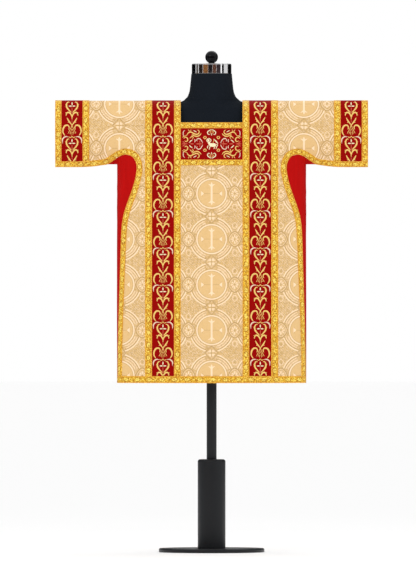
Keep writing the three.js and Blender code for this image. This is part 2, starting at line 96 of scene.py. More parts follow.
CHEST_DEPTH, CHEST_DROP, CHEST_BOW = 0.124, 0.210, 0.355
SIDE_ROUNDING = 80
SLEEVE_DEPTH = {"cuff": 0.042, "shoulder": 0.060}
SLEEVE_EDGE = 0.0023  # half depth of the sleeve at its lower edge
KNIFE = 1.6  # the higher, the fuller the sleeve stays towards that edge
UNION = 5  # the higher, the sharper the sleeve meets the body
SEAM = 0.0003  # half the gap between front and back
GUSSET_GAP = 0.0006  # gap between a gusset and the panel's edge
GUSSET_TIP_X, GUSSET_TIP_RUN = 0.386, 0.045  # where the tip starts, and its length past the underarm
LEVEL_DROP = 0.332  # below this drop the gusset's rows run level
SIDE_STOPS = (0.215, 0.300, 0.520)  # drops at which the side has a row of its own
BORDER_POINTS = 5  # points across the panel's border under the edge braid
HEM_HALF = 0.338  # half width of the hem

# Soft flutes in the lower body: side, middle, half width, depth, and the drop where each begins.
FLUTE_COLUMNS = ("side", "x", "half", "depth", "start")
FLUTES = [dict(zip(FLUTE_COLUMNS, row)) for row in (
    (FRONT, -0.292, 0.052, 0.0050, 0.430),
    (FRONT, -0.060, 0.070, 0.0026, 0.560),
    (FRONT, 0.076, 0.062, 0.0022, 0.640),
    (FRONT, 0.288, 0.056, 0.0042, 0.480),
    (BACK, -0.278, 0.060, 0.0055, 0.400),
    (BACK, -0.084, 0.076, 0.0044, 0.470),
    (BACK, 0.052, 0.066, 0.0036, 0.560),
    (BACK, 0.282, 0.054, 0.0060, 0.450),
)]

# The lower, outer edge of one half: (x, drop) along the sleeve, round the armhole and down the side.
EDGE_POINTS = np.array((
    (0.640, 0.239), (0.563, 0.239), (0.450, 0.238), (0.403, 0.2335), (0.376, 0.229), (0.349, 0.212),
    (0.328, 0.1995), (0.306, 0.1945), (0.284, 0.203), (0.273, 0.221), (0.269, 0.243), (0.2745, 0.281),
    (0.286, 0.322), (0.3015, 0.365), (0.3155, 0.408), (0.3225, 0.451), (0.3255, 0.501), (0.328, 0.588),
    (0.332, 0.717), (0.3363, 0.880), (0.338, 1.016), (0.338, 1.150),
))


def srgb(red, green, blue):
    """Screen colour of 0 to 255 as the linear colour that a shader takes."""
    def linear(value):
        c = value / 255
        return c / 12.92 if c <= 0.04045 else ((c + 0.055) / 1.055) ** 2.4
    return (linear(red), linear(green), linear(blue))


# ---------- settings ----------
def length_setting(name, description, default):
    return bpy.props.FloatProperty(name=name, description=description, default=default, unit="LENGTH",
                                   precision=4)


def colour_setting(name, description, red, green, blue):
    return bpy.props.FloatVectorProperty(name=name, description=description, size=3, subtype="COLOR",
                                         default=srgb(red, green, blue), min=0, max=1)


class TUNICLE_PG_cloth(bpy.types.PropertyGroup):
    """Sizes of the cloth, the braid and the patterns on them."""
    panel_step: length_setting("Panel step", "Size of the panels' mesh cells", 0.0075)
    panel_wall: length_setting("Panel cloth", "Thickness of brocade and lining", 0.0016)
    gusset_wall: length_setting("Gusset cloth", "Thickness of the satin", 0.0011)
    braid_rise: length_setting("Braid", "Thickness of the galloon", 0.0013)
    thread_rise: length_setting("Embroidery", "Height of the embroidery on its band", 0.0011)
    thread_weight: bpy.props.FloatProperty(
        name="Stroke weight", description="Breadth of the stitched strokes", default=0.88, min=0.2, max=2)
    scroll_repeat: length_setting("Scroll repeat", "Length of one repeat of the bands' scroll", 0.1334)
    scroll_start: length_setting("First heart", "Drop of the first heart of the scroll", 0.0225)
    roundel_repeat: length_setting("Roundel repeat", "Distance across between two roundels", 0.166)
    roundel_rise: length_setting("Roundel rise", "Distance down between two roundels", 0.1635)
    roundel_drop: length_setting("Roundel drop", "Drop of the brocade's second row of roundels", 0.172)
    galloon_repeat: length_setting("Galloon repeat", "Length of one repeat of the braid", 0.046)
    stitch_pitch: length_setting("Stitch pitch", "Distance from stitch to stitch", 0.0042)


class TUNICLE_PG_colours(bpy.types.PropertyGroup):
    """Colours of the threads, cloths and metals."""
    ground: colour_setting("Brocade ground", "Plain ground inside the roundels", 226, 187, 127)
    mesh: colour_setting("Brocade mesh", "Ground between the roundels", 222, 183, 121)
    cream: colour_setting("Brocade cream", "Raised pattern of the brocade", 238, 209, 174)
    olive: colour_setting("Brocade shade", "Outlines of the brocade", 186, 149, 92)
    satin: colour_setting("Gusset satin", "Side and underarm gussets", 184, 12, 11)
    orphrey: colour_setting("Orphrey red", "Ground of the bands", 150, 5, 4)
    gold: colour_setting("Galloon gold", "Body of the braid", 242, 187, 36)
    gold_light: colour_setting("Galloon light", "Medallions of the braid", 255, 235, 116)
    gold_dark: colour_setting("Galloon shade", "Outlines of the braid", 160, 92, 2)
    gold_edge: colour_setting("Galloon edge", "Edge cords of the braid", 234, 156, 36)
    thread_gold: colour_setting("Gold thread", "Scrolls of the embroidery", 252, 211, 118)
    thread_cream: colour_setting("Cream thread", "Leaves and lamb", 255, 240, 196)
    thread_silver: colour_setting("Silver thread", "Crescents of the scroll", 250, 218, 190)
    thread_rose: colour_setting("Rose thread", "Stems of the scroll", 214, 98, 68)
    lining: colour_setting("Lining", "Inside of the panels", 226, 190, 128)
    jersey: colour_setting("Jersey", "Cover of the form", 22, 27, 34)


class TUNICLE_PG_stage(bpy.types.PropertyGroup):
    """Camera, light and floor."""
    lens: bpy.props.FloatProperty(name="Lens", description="Focal length of the camera", default=700,
                                  unit="CAMERA", min=20)
    picture_height: length_setting("Picture height", "Height taken in at the garment", 2.1168)
    middle_x: length_setting("Picture middle", "Where across the garment the picture is centred", -0.013)
    middle_z: length_setting("Picture level", "Height above the floor at the picture's middle", 0.929)
    floor_size: length_setting("Floor", "Width of the floor", 160.0)
    light_power: bpy.props.FloatProperty(name="Light", description="Power of the main light", default=40,
                                         unit="POWER", min=0)


def cloth():
    """The settings of sizes."""
    return bpy.context.scene.tunicle_cloth


def colours():
    """The settings of colours."""
    return bpy.context.scene.tunicle_colours


# ---------- the worn shape ----------
def smooth(t):
    """0 to 1, with an eased start and end."""
    share = np.clip(t, 0, 1)
    return share * share * (3 - 2 * share)


def sleeve_edge_drop(x):
    """Drop of the sleeve's lower edge, which dips a little towards the cuff."""
    return UNDERARM_DROP + (CUFF_DROP - UNDERARM_DROP) * smooth(
        (np.abs(x) - CUFF_FLARE[0]) / (CUFF_FLARE[1] - CUFF_FLARE[0]))


def root(value):
    """Square root, and 0 for what is under 0."""
    return np.sqrt(np.maximum(0, value))


def body_depth(x, drop):
    """Half depth of the body alone."""
    bow = root(1 - (x / CHEST_BOW) ** 2)
    fold = root(1 - np.minimum(1, np.abs(x) / SIDE) ** SIDE_ROUNDING)
    shoulder = root(1 - np.maximum(0, 1 - drop / CHEST_DROP) ** 2)
    return CHEST_DEPTH * bow * fold * shoulder


def sleeve_depth(x, drop):
    """Half depth of the sleeve alone."""
    to_shoulder = smooth((REACH - np.abs(x)) / (REACH - SIDE))
    deep = SLEEVE_DEPTH["cuff"] + (SLEEVE_DEPTH["shoulder"] - SLEEVE_DEPTH["cuff"]) * to_shoulder
    down = np.minimum(1, 2 * drop / sleeve_edge_drop(x) - 1)
    closing = SLEEVE_EDGE + (deep - SLEEVE_EDGE) * (1 - np.maximum(0, down) ** KNIFE)
    return np.where(down < 0, deep * root(1 - down * down), closing)


def flute_depth(x, drop, side):
    """How far the flutes draw the cloth in."""
    total = np.zeros(np.broadcast(x, drop, side).shape)
    for flute in FLUTES:
        bell = np.maximum(0, 1 - ((x - flute["x"]) / flute["half"]) ** 2) ** 2
        fade = smooth((drop - flute["start"]) / (LENGTH - flute["start"]))
        total = total + flute["depth"] * bell * fade * (side == flute["side"])
    return total


def depth(x, drop, side):
    """Half depth of the hollow garment at places of its pattern; the drop is taken as positive."""
    joined = (body_depth(x, drop) ** UNION + sleeve_depth(x, drop) ** UNION) ** (1 / UNION)
    return np.where(drop <= 0, 0, joined - flute_depth(x, drop, side))


def unit(vectors):
    """Directions of vectors, each 1 long."""
    return vectors / np.maximum(1e-12, np.linalg.norm(vectors, axis=-1, keepdims=True))


def lift(points):
    """Places of pattern points (x, signed drop) on the cloth's outer face, and the directions out of it."""
    step = 0.5 * MM
    x, drop = points[..., 0], np.abs(points[..., 1])
    side = np.sign(np.round(points[..., 1], 9))
    place = np.stack([x, -side * (depth(x, drop, side) + SEAM), SHOULDER_HEIGHT - drop], -1)
    across = (depth(x + step, drop, side) - depth(x - step, drop, side)) / (2 * step)
    above = np.maximum(0, drop - step)
    down = (depth(x, drop + step, side) - depth(x, above, side)) / (drop + step - above)
    level = side == 0
    out = np.stack([np.where(level, 0, -across), -side, np.where(level, 1, down)], -1)
    return place, unit(out)


# ---------- true lengths down the cloth ----------
ARC_ANCHOR = 0.100  # below this drop the cloth hangs straight, and its length there is the drop
ARC_XS = np.linspace(0, REACH, 80)
# Drops of the table: they lie closer together round the shoulder.
ARC_DROPS = np.concatenate([0.050 * np.linspace(0, 1, 60) ** 2, np.linspace(0.052, LENGTH, 400)])


def arc_rows():
    """Lengths down the cloth at each of the drops, a row for each place across."""
    rows = []
    for x in ARC_XS:
        deep = depth(np.full(ARC_DROPS.shape, x), ARC_DROPS, 0)
        steps = np.hypot(np.diff(ARC_DROPS), np.diff(deep))
        run = np.concatenate([[0], np.cumsum(steps)])
        start = ARC_ANCHOR - np.interp(ARC_ANCHOR, ARC_DROPS, run)
        rows.append(np.where(ARC_DROPS < ARC_ANCHOR, start + run, ARC_DROPS))
    return np.array(rows)


ARC_TABLE = arc_rows()


def cloth_length(x, drop):
    """Length down the cloth that belongs to a drop: shorter than zero on the rounding of the shoulder."""
    at = np.interp(np.abs(x), ARC_XS, np.arange(len(ARC_XS)))
    low = np.minimum(at.astype(int), len(ARC_XS) - 2)
    share = at - low
    flat_low, flat_drop = low.ravel(), np.abs(drop).ravel()
    lower = np.array([np.interp(d, ARC_DROPS, ARC_TABLE[i]) for i, d in zip(flat_low, flat_drop)])
    upper = np.array([np.interp(d, ARC_DROPS, ARC_TABLE[i + 1]) for i, d in zip(flat_low, flat_drop)])
    return lower.reshape(share.shape) * (1 - share) + upper.reshape(share.shape) * share


def drop_of_length(x, length):
    """The drop that belongs to a length down the cloth."""
    row = ARC_TABLE[int(round(abs(x) / REACH * (len(ARC_XS) - 1)))]
    return np.interp(length, row, ARC_DROPS)


# ---------- curves through given points -----------
def centripetal_curve(points, per_span):
    """Points along a centripetal Catmull-Rom curve through the given ones."""
    ghosts = np.vstack([2 * points[0] - points[1], points, 2 * points[-1] - points[-2]])
    runs = []
    for a, b, c, d in zip(ghosts, ghosts[1:], ghosts[2:], ghosts[3:]):
        first, mid, last = (np.linalg.norm(q - p) ** 0.5 for p, q in ((a, b), (b, c), (c, d)))
        start = ((b - a) / first - (c - a) / (first + mid) + (c - b) / mid) * mid
        end = ((c - b) / mid - (d - b) / (mid + last) + (d - c) / last) * mid
        t = np.linspace(0, 1, per_span, endpoint=False)[:, None]
        square = 3 * (c - b) - 2 * start - end
        cube = 2 * (b - c) + start + end
        runs.append(b + start * t + square * t ** 2 + cube * t ** 3)
    return np.vstack([*runs, points[-1:]])


def edge_lines():
    """Matching samples of the pattern's lower edge and of the inner side of the braid on it."""
    outer = centripetal_curve(EDGE_POINTS, 120)
    along = unit(np.gradient(outer, axis=0))
    down = smooth((outer[:, 1:] - SIDE_BRAID["from"]) / (SIDE_BRAID["to"] - SIDE_BRAID["from"]))
    width = EDGE_BRAID + (SIDE_BRAID["width"] - EDGE_BRAID) * down
    inner = outer + width * np.stack([-along[:, 1], along[:, 0]], -1)
    return outer, inner


def at_each(values, run, line):
    """Points of a flat line where the run along it takes the given values."""
    return np.stack([np.interp(values, run, line[:, k]) for k in (0, 1)], -1)


def run_along(points):
    """Lengths along a line of points, from its start."""
    return np.concatenate([[0], np.cumsum(np.linalg.norm(np.diff(points, axis=0), axis=1))])


EDGE_OUTER, EDGE_INNER = edge_lines()
UNDER_SIDE = np.flatnonzero(EDGE_INNER[:, 0] < SIDE)
PEAK = UNDER_SIDE[np.argmin(EDGE_INNER[UNDER_SIDE, 1])]
PEAK_X, PEAK_DROP = EDGE_INNER[PEAK]


def edge_at(axis, values, samples):
    """Outer and inner edge points where a coordinate of the inner side takes the given values."""
    key = EDGE_INNER[samples, axis]
    order = np.argsort(key, kind="stable")
    lines = (points[samples][order] for points in (EDGE_OUTER, EDGE_INNER))
    return tuple(at_each(values, key[order], line) for line in lines)


def edge_below(drops):
    """Edge points down the side, at drops of the inner side."""
    outer, inner = edge_at(1, drops, slice(PEAK, None))
    inner[:, 1] = drops
    return outer, inner


def edge_beyond(xs):
    """Edge points along the sleeve, at places across of the inner side."""
    outer, inner = edge_at(0, xs, slice(0, PEAK + 1))
    inner[:, 0] = xs
    return outer, inner


def refine(stops, step):
    """The given stops with even steps of at most one size between them."""
    runs = [np.linspace(a, b, max(1, math.ceil(abs(b - a) / step - 1e-6)), endpoint=False)
            for a, b in zip(stops, stops[1:])]
    return np.concatenate([*runs, [stops[-1]]])


def side_rows(step):
    """Drops of the rows from the armhole's peak to the hem."""
    return refine([PEAK_DROP, *SIDE_STOPS, LENGTH], step)


def shoulder_drops(to, step):
    """Drops that take even steps round the shoulder: they grow with the square."""
    grow, most = 0.3 * MM, 12
    count = int(min(most, math.sqrt(to / grow)))
    return np.concatenate([grow * np.arange(count) ** 2, refine([grow * count ** 2, to], step)])


def grid(first, last, shares):
    """Rows that run from each point of one line to its partner on another."""
    shares = np.asarray(shares)[None, :, None]
    return first[:, None, :] * (1 - shares) + last[:, None, :] * shares


# ---------- meshes ----------
def weld(grids):
    """Pattern grids as one list of unlike points and, for each grid, its points' numbers in that list."""
    flat = np.vstack([g.reshape(-1, g.shape[-1]) for g in grids])
    keys = np.round(flat, 7) + 0.0
    _, first, number = np.unique(keys, axis=0, return_index=True, return_inverse=True)
    number = number.ravel()
    numbers, start = [], 0
    for g in grids:
        count = g.shape[0] * g.shape[1]
        numbers.append(number[start:start + count].reshape(g.shape[:2]))
        start += count
    return flat[first], numbers, first


def quads_of(numbers):
    """The quads between the points of a grid."""
    a, b, c, d = numbers[1:, :-1], numbers[1:, 1:], numbers[:-1, 1:], numbers[:-1, :-1]
    return np.stack([a, b, c, d], -1).reshape(-1, 4)


def facing(quads, points):
    """Quads turned so that they face out, where the pattern's drop runs down."""
    corners = points[quads]
    after = np.roll(corners, -1, axis=1)
    area = (corners[..., 0] * after[..., 1] - after[..., 0] * corners[..., 1]).sum(axis=1)
    return np.where((area > 0)[:, None], quads[:, ::-1], quads)


def thicken(quads, count):
    """Outer quads, inner quads and the quads of the rim between them."""
    edges = dict.fromkeys(edge for quad in quads.tolist() for edge in zip(quad, quad[1:] + quad[:1]))
    rim = [(v, u, u + count, v + count) for u, v in edges if (v, u) not in edges]
    return quads, quads[:, ::-1] + count, np.array(rim, dtype=int).reshape(-1, 4)


def new_object(name, vertices, faces, materials, material_of_face=None, uv=None, sharp=35):
    """An object in the scene; the uv has one place for each vertex, and sharp is in degrees."""
    mesh = bpy.data.meshes.new(name)
    mesh.from_pydata([tuple(v) for v in np.asarray(vertices, dtype=float)], [], [tuple(f) for f in faces])
    for material in materials:
        mesh.materials.append(material)
    if material_of_face is not None:
        mesh.polygons.foreach_set("material_index", np.asarray(material_of_face, dtype=np.int32))
    if uv is not None:
        layer = mesh.uv_layers.new(name="Cloth")
        corners = np.zeros(len(mesh.loops), dtype=np.int32)
        mesh.loops.foreach_get("vertex_index", corners)
        layer.data.foreach_set("uv", np.asarray(uv, dtype=float)[corners].ravel())
    mesh.shade_smooth()
    mesh.set_sharp_from_angle(angle=math.radians(sharp))
    mesh.update()
    piece = bpy.data.objects.new(name, mesh)
    bpy.context.scene.collection.objects.link(piece)
    return piece


def cloth_shell(name, grids, uvs, inner, outer, materials, rises=None):
    """A closed shell of cloth on the worn shape, from pattern grids and the uv of each of their points."""
    points, numbers, first = weld(grids)
    uv = np.vstack([u.reshape(-1, 2) for u in uvs])[first]
    rise = np.concatenate([r.ravel() for r in rises])[first] if rises is not None else np.zeros(len(points))
    quads = facing(np.vstack([quads_of(n) for n in numbers]), points)
    place, out = lift(points)
    vertices = np.vstack([place + out * (outer + rise)[:, None], place + out * inner])
    faces = thicken(quads, len(points))
    kinds = np.concatenate([np.full(len(f), min(k, len(materials) - 1)) for f, k in zip(faces, (0, 1, 0))])
    piece = new_object(name, vertices, np.vstack(faces), materials, kinds, np.vstack([uv, uv]))
    piece["outer_area"] = surface_area(vertices, faces[0])
    return piece


def surface_area(vertices, quads):
    """Area of the given quads."""
    a, b, c, d = (vertices[quads[:, k]] for k in range(4))
    return float(np.linalg.norm(np.cross(c - a, d - b), axis=1).sum() / 2)


def dress(piece, node_names, flat):
    """Puts a piece of cloth on the body, in place of its solids; flat, the size of its cut, is not used."""
    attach(piece, "root")
    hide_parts(*node_names)


# ---------- shaders ----------
class Field:
    """A number in a shader. Sums on it add the Math nodes that work it out."""

    def __init__(self, tree, socket):
        self.tree, self.socket = tree, socket

    def math(self, operation, *others):
        node = self.tree.nodes.new("ShaderNodeMath")
        node.operation = operation
        for entry, value in zip(node.inputs, (self, *others)):
            if isinstance(value, Field):
                self.tree.links.new(value.socket, entry)
            else:
                entry.default_value = value
        return Field(self.tree, node.outputs[0])

    def __add__(self, other):
        return self.math("ADD", other)

    def __sub__(self, other):
        return self.math("SUBTRACT", other)

    def __mul__(self, other):
        return self.math("MULTIPLY", other)

    def __truediv__(self, other):
        return self.math("DIVIDE", other)

    def away_from(self, other):
        return (self - other).math("ABSOLUTE")

    def least(self, other):
        return self.math("MINIMUM", other)

    def most(self, other):
        return self.math("MAXIMUM", other)

    def below(self, limit, soft=0.4):
        """1 where this is under the limit and 0 where it is over it, with a soft edge."""
        if isinstance(limit, Field):
            return (self - limit).below(0, soft)
        node = self.tree.nodes.new("ShaderNodeMapRange")
        node.interpolation_type = "SMOOTHSTEP"
        self.tree.links.new(self.socket, node.inputs["Value"])
        node.inputs["From Min"].default_value = limit - soft
        node.inputs["From Max"].default_value = limit + soft
        node.inputs["To Min"].default_value = 1
        node.inputs["To Max"].default_value = 0
        return Field(self.tree, node.outputs["Result"])

    def over(self, limit, soft=0.4):
        return self.below(limit, soft) * -1 + 1

    def on_line(self, middle, half, soft=0.4):
        """1 on a line of a half width round a middle value."""
        return self.away_from(middle).below(half, soft)

    def wrapped(self, repeat):
        """This as a distance from the nearest multiple of a repeat."""
        return ((self / repeat + 0.5).math("FRACT") - 0.5) * repeat

    def length_with(self, other):
        return (self * self + other * other).math("SQRT")

    def specks(self, middle, gain, most):
        """Specks where this noise passes a middle value, upwards or, with a gain below 0, downwards."""
        return ((self - middle) * gain).most(0).least(most)


def any_of(*masks):
    """The strongest of some masks."""
    result = masks[0]
    for mask in masks[1:]:
        result = result.most(mask)
    return result


def all_of(*masks):
    """Where every one of some masks holds."""
    result = masks[0]
    for mask in masks[1:]:
        result = result * mask
    return result


class Finish:
    """A material under construction, with its Principled shader."""

    def __init__(self, name, **values):
        self.material = bpy.data.materials.new(name)
        self.material.use_nodes = True
        self.tree = self.material.node_tree
        self.shader = self.tree.nodes["Principled BSDF"]
        for key, value in values.items():
            self.shader.inputs[key.replace("_", " ")].default_value = value

    def cloth_place(self):
        """Place on the cloth in millimetres, across and along."""
        uv = self.tree.nodes.new("ShaderNodeUVMap")
        uv.uv_map = "Cloth"
        parts = self.tree.nodes.new("ShaderNodeSeparateXYZ")
        self.tree.links.new(uv.outputs[0], parts.inputs[0])
        return Field(self.tree, parts.outputs[0]) * 1000, Field(self.tree, parts.outputs[1]) * 1000

    def noise(self, size_mm, detail, stretch=(1, 1, 1)):
        """Noise of the given size in the object's own axes."""
        where = self.tree.nodes.new("ShaderNodeTexCoord")
        mapping = self.tree.nodes.new("ShaderNodeMapping")
        mapping.inputs["Scale"].default_value = stretch
        self.tree.links.new(where.outputs["Object"], mapping.inputs["Vector"])
        node = self.tree.nodes.new("ShaderNodeTexNoise")
        node.inputs["Scale"].default_value = 1000 / size_mm
        node.inputs["Detail"].default_value = detail
        self.tree.links.new(mapping.outputs[0], node.inputs["Vector"])
        return Field(self.tree, node.outputs[0])

    def mix(self, factor, low, high):
        """A colour between two, by a factor."""
        node = self.tree.nodes.new("ShaderNodeMix")
        node.data_type = "RGBA"
        self.tree.links.new(factor.socket, node.inputs["Factor"])
        for entry, colour in ((node.inputs[6], low), (node.inputs[7], high)):
            if hasattr(colour, "is_output"):
                self.tree.links.new(colour, entry)
            else:
                entry.default_value = (*colour, 1)
        return node.outputs[2]

    def colour(self, socket):
        self.tree.links.new(socket, self.shader.inputs["Base Color"])

    def roughness(self, field):
        self.tree.links.new(field.socket, self.shader.inputs["Roughness"])

    def bump(self, field, depth_mm, strength):
        """Fine relief of the given depth."""
        node = self.tree.nodes.new("ShaderNodeBump")
        node.inputs["Distance"].default_value = depth_mm * MM
        node.inputs["Strength"].default_value = strength
        self.tree.links.new(field.socket, node.inputs["Height"])
        self.tree.links.new(node.outputs[0], self.shader.inputs["Normal"])


def shade(colour, factor):
    """A colour made lighter or darker."""
    return tuple(min(1, c * factor) for c in colour)


def ribs(field, pitch):
    """Round ribs of thread, 0 to 1, of one pitch."""
    return (field * (2 * math.pi / pitch)).math("SINE") * 0.5 + 0.5


# The brocade's roundel in millimetres: radii and half widths of its lines. Turns are in radians from level.
RING, RING_HALF = 52.8, 2.5
RING_SHADES = ((56.4, 1.0), (49.2, 0.8))  # radius, strength
PLAIN_RADIUS = 49
RIBBON, RIBBON_HALF, RIBBON_EDGES = 65.5, 6.2, (61.2, 69.8)
RIBBON_TURN, RIBBON_TURN_HALF = 0.79, 0.42
BOLD, BOLD_HALF, BOLD_TURN, BOLD_TURN_HALF = 78, 2.2, 0.826, 0.47
ROSETTE_HALF, ROSETTE_HEIGHT, ROSETTE_ROUND = 18.5, 22.5, 1.55
PETALS_IN_ROSETTE = 8
PETAL_SPREAD, PETAL_CUT = 18, 7.6
CROSS_FLARE_FROM, CROSS_HALF, CROSS_END = 25, 3.3, 34.5
MESH_CELLS = 18  # cells of the diaper mesh in a repeat
MESH_FROM = 82.5
LEAF_MIDDLE, LEAF_HALF, LEAF_HEIGHT = 50, 9, 11.5


def roundel_masks(p, q, r, turn):
    """Cream and shaded lines of the rings, the arcs and the cross, from a roundel's middle."""
    bold = r.on_line(BOLD, BOLD_HALF) * turn.on_line(BOLD_TURN, BOLD_TURN_HALF, 0.02)
    ribbon = turn.on_line(RIBBON_TURN, RIBBON_TURN_HALF, 0.02)
    flare = (q - CROSS_FLARE_FROM).most(0).math("POWER", 1.5) * 0.34 + CROSS_HALF
    upright = (p - flare).below(0) * q.below(CROSS_END)
    notch = ((q - 31) - p * 0.45).over(0) * p.over(3.0)
    tip = (p / 3.4 + q.away_from(35.5) / 6.5).below(1, 0.12)
    wedge = all_of((q - (p - 27) * 0.85).below(0), p.on_line(33, 4.6))
    arm = q.below(0.8) * p.on_line(16.5, 11.5)
    wedge_tips = (q / 12 + p.away_from(34) / 3).below(1, 0.2) * q.over(7)
    cream = any_of(
        r.on_line(RING, RING_HALF), bold, r.on_line(RIBBON, RIBBON_HALF) * ribbon * 0.2,
        *(r.on_line(radius, 0.9) * ribbon for radius in RIBBON_EDGES),
        upright * (notch * -1 + 1), tip, wedge,
    )
    olive = any_of(
        *(r.on_line(radius, 0.8) * strength for radius, strength in RING_SHADES),
        r.on_line(RIBBON, 0.9) * ribbon * 0.8, r.on_line(74.2, 1.5) * turn.on_line(BOLD_TURN, 0.5, 0.03),
        arm * 0.8, wedge_tips * 0.8,
    )
    return cream, olive, ribbon


def brocade_masks(u, v):
    """Cream, shaded and plain parts of the brocade's square repeat of roundels, in millimetres."""
    repeat = cloth().roundel_repeat / MM
    half = repeat / 2
    v = (v - cloth().roundel_drop / MM) * (cloth().roundel_repeat / cloth().roundel_rise)
    p = u.wrapped(repeat).math("ABSOLUTE")
    q = v.wrapped(repeat).math("ABSOLUTE")
    r = p.length_with(q)
    beside, below = (p * -1 + half), (q * -1 + half)
    roundel_cream, roundel_olive, ribbon = roundel_masks(p, q, r, q.math("ARCTAN2", p))

    # Rosettes between neighbours in a row, four petals between neighbours in a column.
    across, up = beside / ROSETTE_HALF, q / ROSETTE_HEIGHT
    powers = across.math("POWER", ROSETTE_ROUND) + up.math("POWER", ROSETTE_ROUND)
    rosette = powers.math("POWER", 1 / ROSETTE_ROUND)
    petal_turn = (q.math("ARCTAN2", beside) * PETALS_IN_ROSETTE).math("COSINE") * 0.5 + 0.5
    petals = (rosette.away_from(0.48) - petal_turn * 0.36).below(-0.10, 0.06)
    petal_of_four = all_of((p + below).below(PETAL_SPREAD, 1.4), p.over(1.4), below.over(2.6),
                           (p.away_from(5.5) + below.away_from(6.5)).below(PETAL_CUT, 1.2))
    flower = p + below * 0.9
    rosette_free = rosette.over(1.45, 0.04)

    # Diaper mesh, ogee leaves and dots between the roundels.
    lattice = repeat / MESH_CELLS
    rising, falling = ((u + v * turn).wrapped(lattice).math("ABSOLUTE") for turn in (1, -1))
    slant = rising.least(falling)
    net = any_of(slant.below(0.7, 0.6) * 0.55, slant.most(falling).below(1.9, 0.7))
    between = r.over(MESH_FROM) * rosette_free * flower.over(27)
    leaf = ((beside / LEAF_HALF).length_with((q - LEAF_MIDDLE) / LEAF_HEIGHT)
            + (beside / LEAF_HALF) * (q - 54).most(0) * 0.06)

    cream = any_of(
        roundel_cream, rosette.on_line(1.06, 0.07, 0.03) * 0.35, petals, petal_of_four * 0.85,
        leaf.on_line(0.95, 0.13, 0.08) * between * 0.8,
    )
    olive = any_of(
        roundel_olive, r.on_line(81.6, 0.9) * between, rosette.on_line(1.25, 0.09, 0.05),
        rosette.below(0.13, 0.05), rosette.on_line(0.90, 0.04, 0.03) * 0.7,
        flower.on_line(24, 3.2, 1.5) * 0.75, r.on_line(67, 9) * (ribbon * -1 + 1) * rosette_free * 0.2,
        p.below(1.0) * below.below(14), below.below(1.0) * p.below(14),
        leaf.below(0.30, 0.12) * between * 0.8, (beside + below).below(3.0) * between, net * between * 0.4,
    )
    return cream, olive, r.below(PLAIN_RADIUS)


def brocade_finish():
    """Brocade: a plain ground in the roundels, a mesh between them, and raised cream on both."""
    tints = colours()
    finish = Finish("brocade", Roughness=0.55, Specular_IOR_Level=0.25, Sheen_Weight=0.06,
                    Sheen_Roughness=0.4)
    u, v = finish.cloth_place()
    cream, olive, plain = brocade_masks(u, v)
    mottle = finish.noise(6, detail=2)
    grain = finish.noise(4.2, detail=2)
    woven = plain * -0.85 + 1
    base = finish.mix(plain, tuple(tints.mesh), tuple(tints.ground))
    base = finish.mix(mottle.specks(0.48, 5, 0.65) * woven, base, tuple(tints.olive))
    base = finish.mix(grain.specks(0.48, 6, 0.7) * woven, base, tuple(tints.cream))
    base = finish.mix(olive * 0.9, base, tuple(tints.olive))
    base = finish.mix(cream * 0.97, base, shade(tints.cream, 1.12))
    finish.colour(base)
    finish.roughness(cream * -0.10 + plain * -0.04 + 0.56)
    weave = ribs(v, 0.9) * 0.5 + ribs(u, 1.3) * 0.25
    finish.bump(cream * 0.9 - olive * 0.5 + weave * 0.35 + grain * 0.3, 0.35, 0.7)
    return finish.material


def satin_finish(name, tint, rib_mm, roughness):
    """Plain cloth with fine warp threads that run down it."""
    finish = Finish(name, Roughness=roughness, Specular_IOR_Level=0.03)
    u, v = finish.cloth_place()
    streaks = finish.noise(7, detail=3, stretch=(1, 1, 0.06))
    finish.colour(finish.mix((streaks - 0.35).most(0) * 1.4, shade(tint, 0.88), shade(tint, 1.10)))
    finish.bump(ribs(u, rib_mm) * 0.6 + ribs(v, rib_mm * 1.6) * 0.3 + streaks * 0.6, 0.18, 0.5)
    return finish.material


# The braid's medallion in millimetres, along and across, and its edge cords from the braid's middle.
MEDALLION = (10, 6.8)
MEDALLION_PETALS = 6
DIAMOND = (3.6, 3.0)
VINE_SWING, VINE_WAVES = 4.6, 1.5
EDGE_SHADE, EDGE_CORD, EDGE_RIDGE = 8.6, 10.2, 10.4


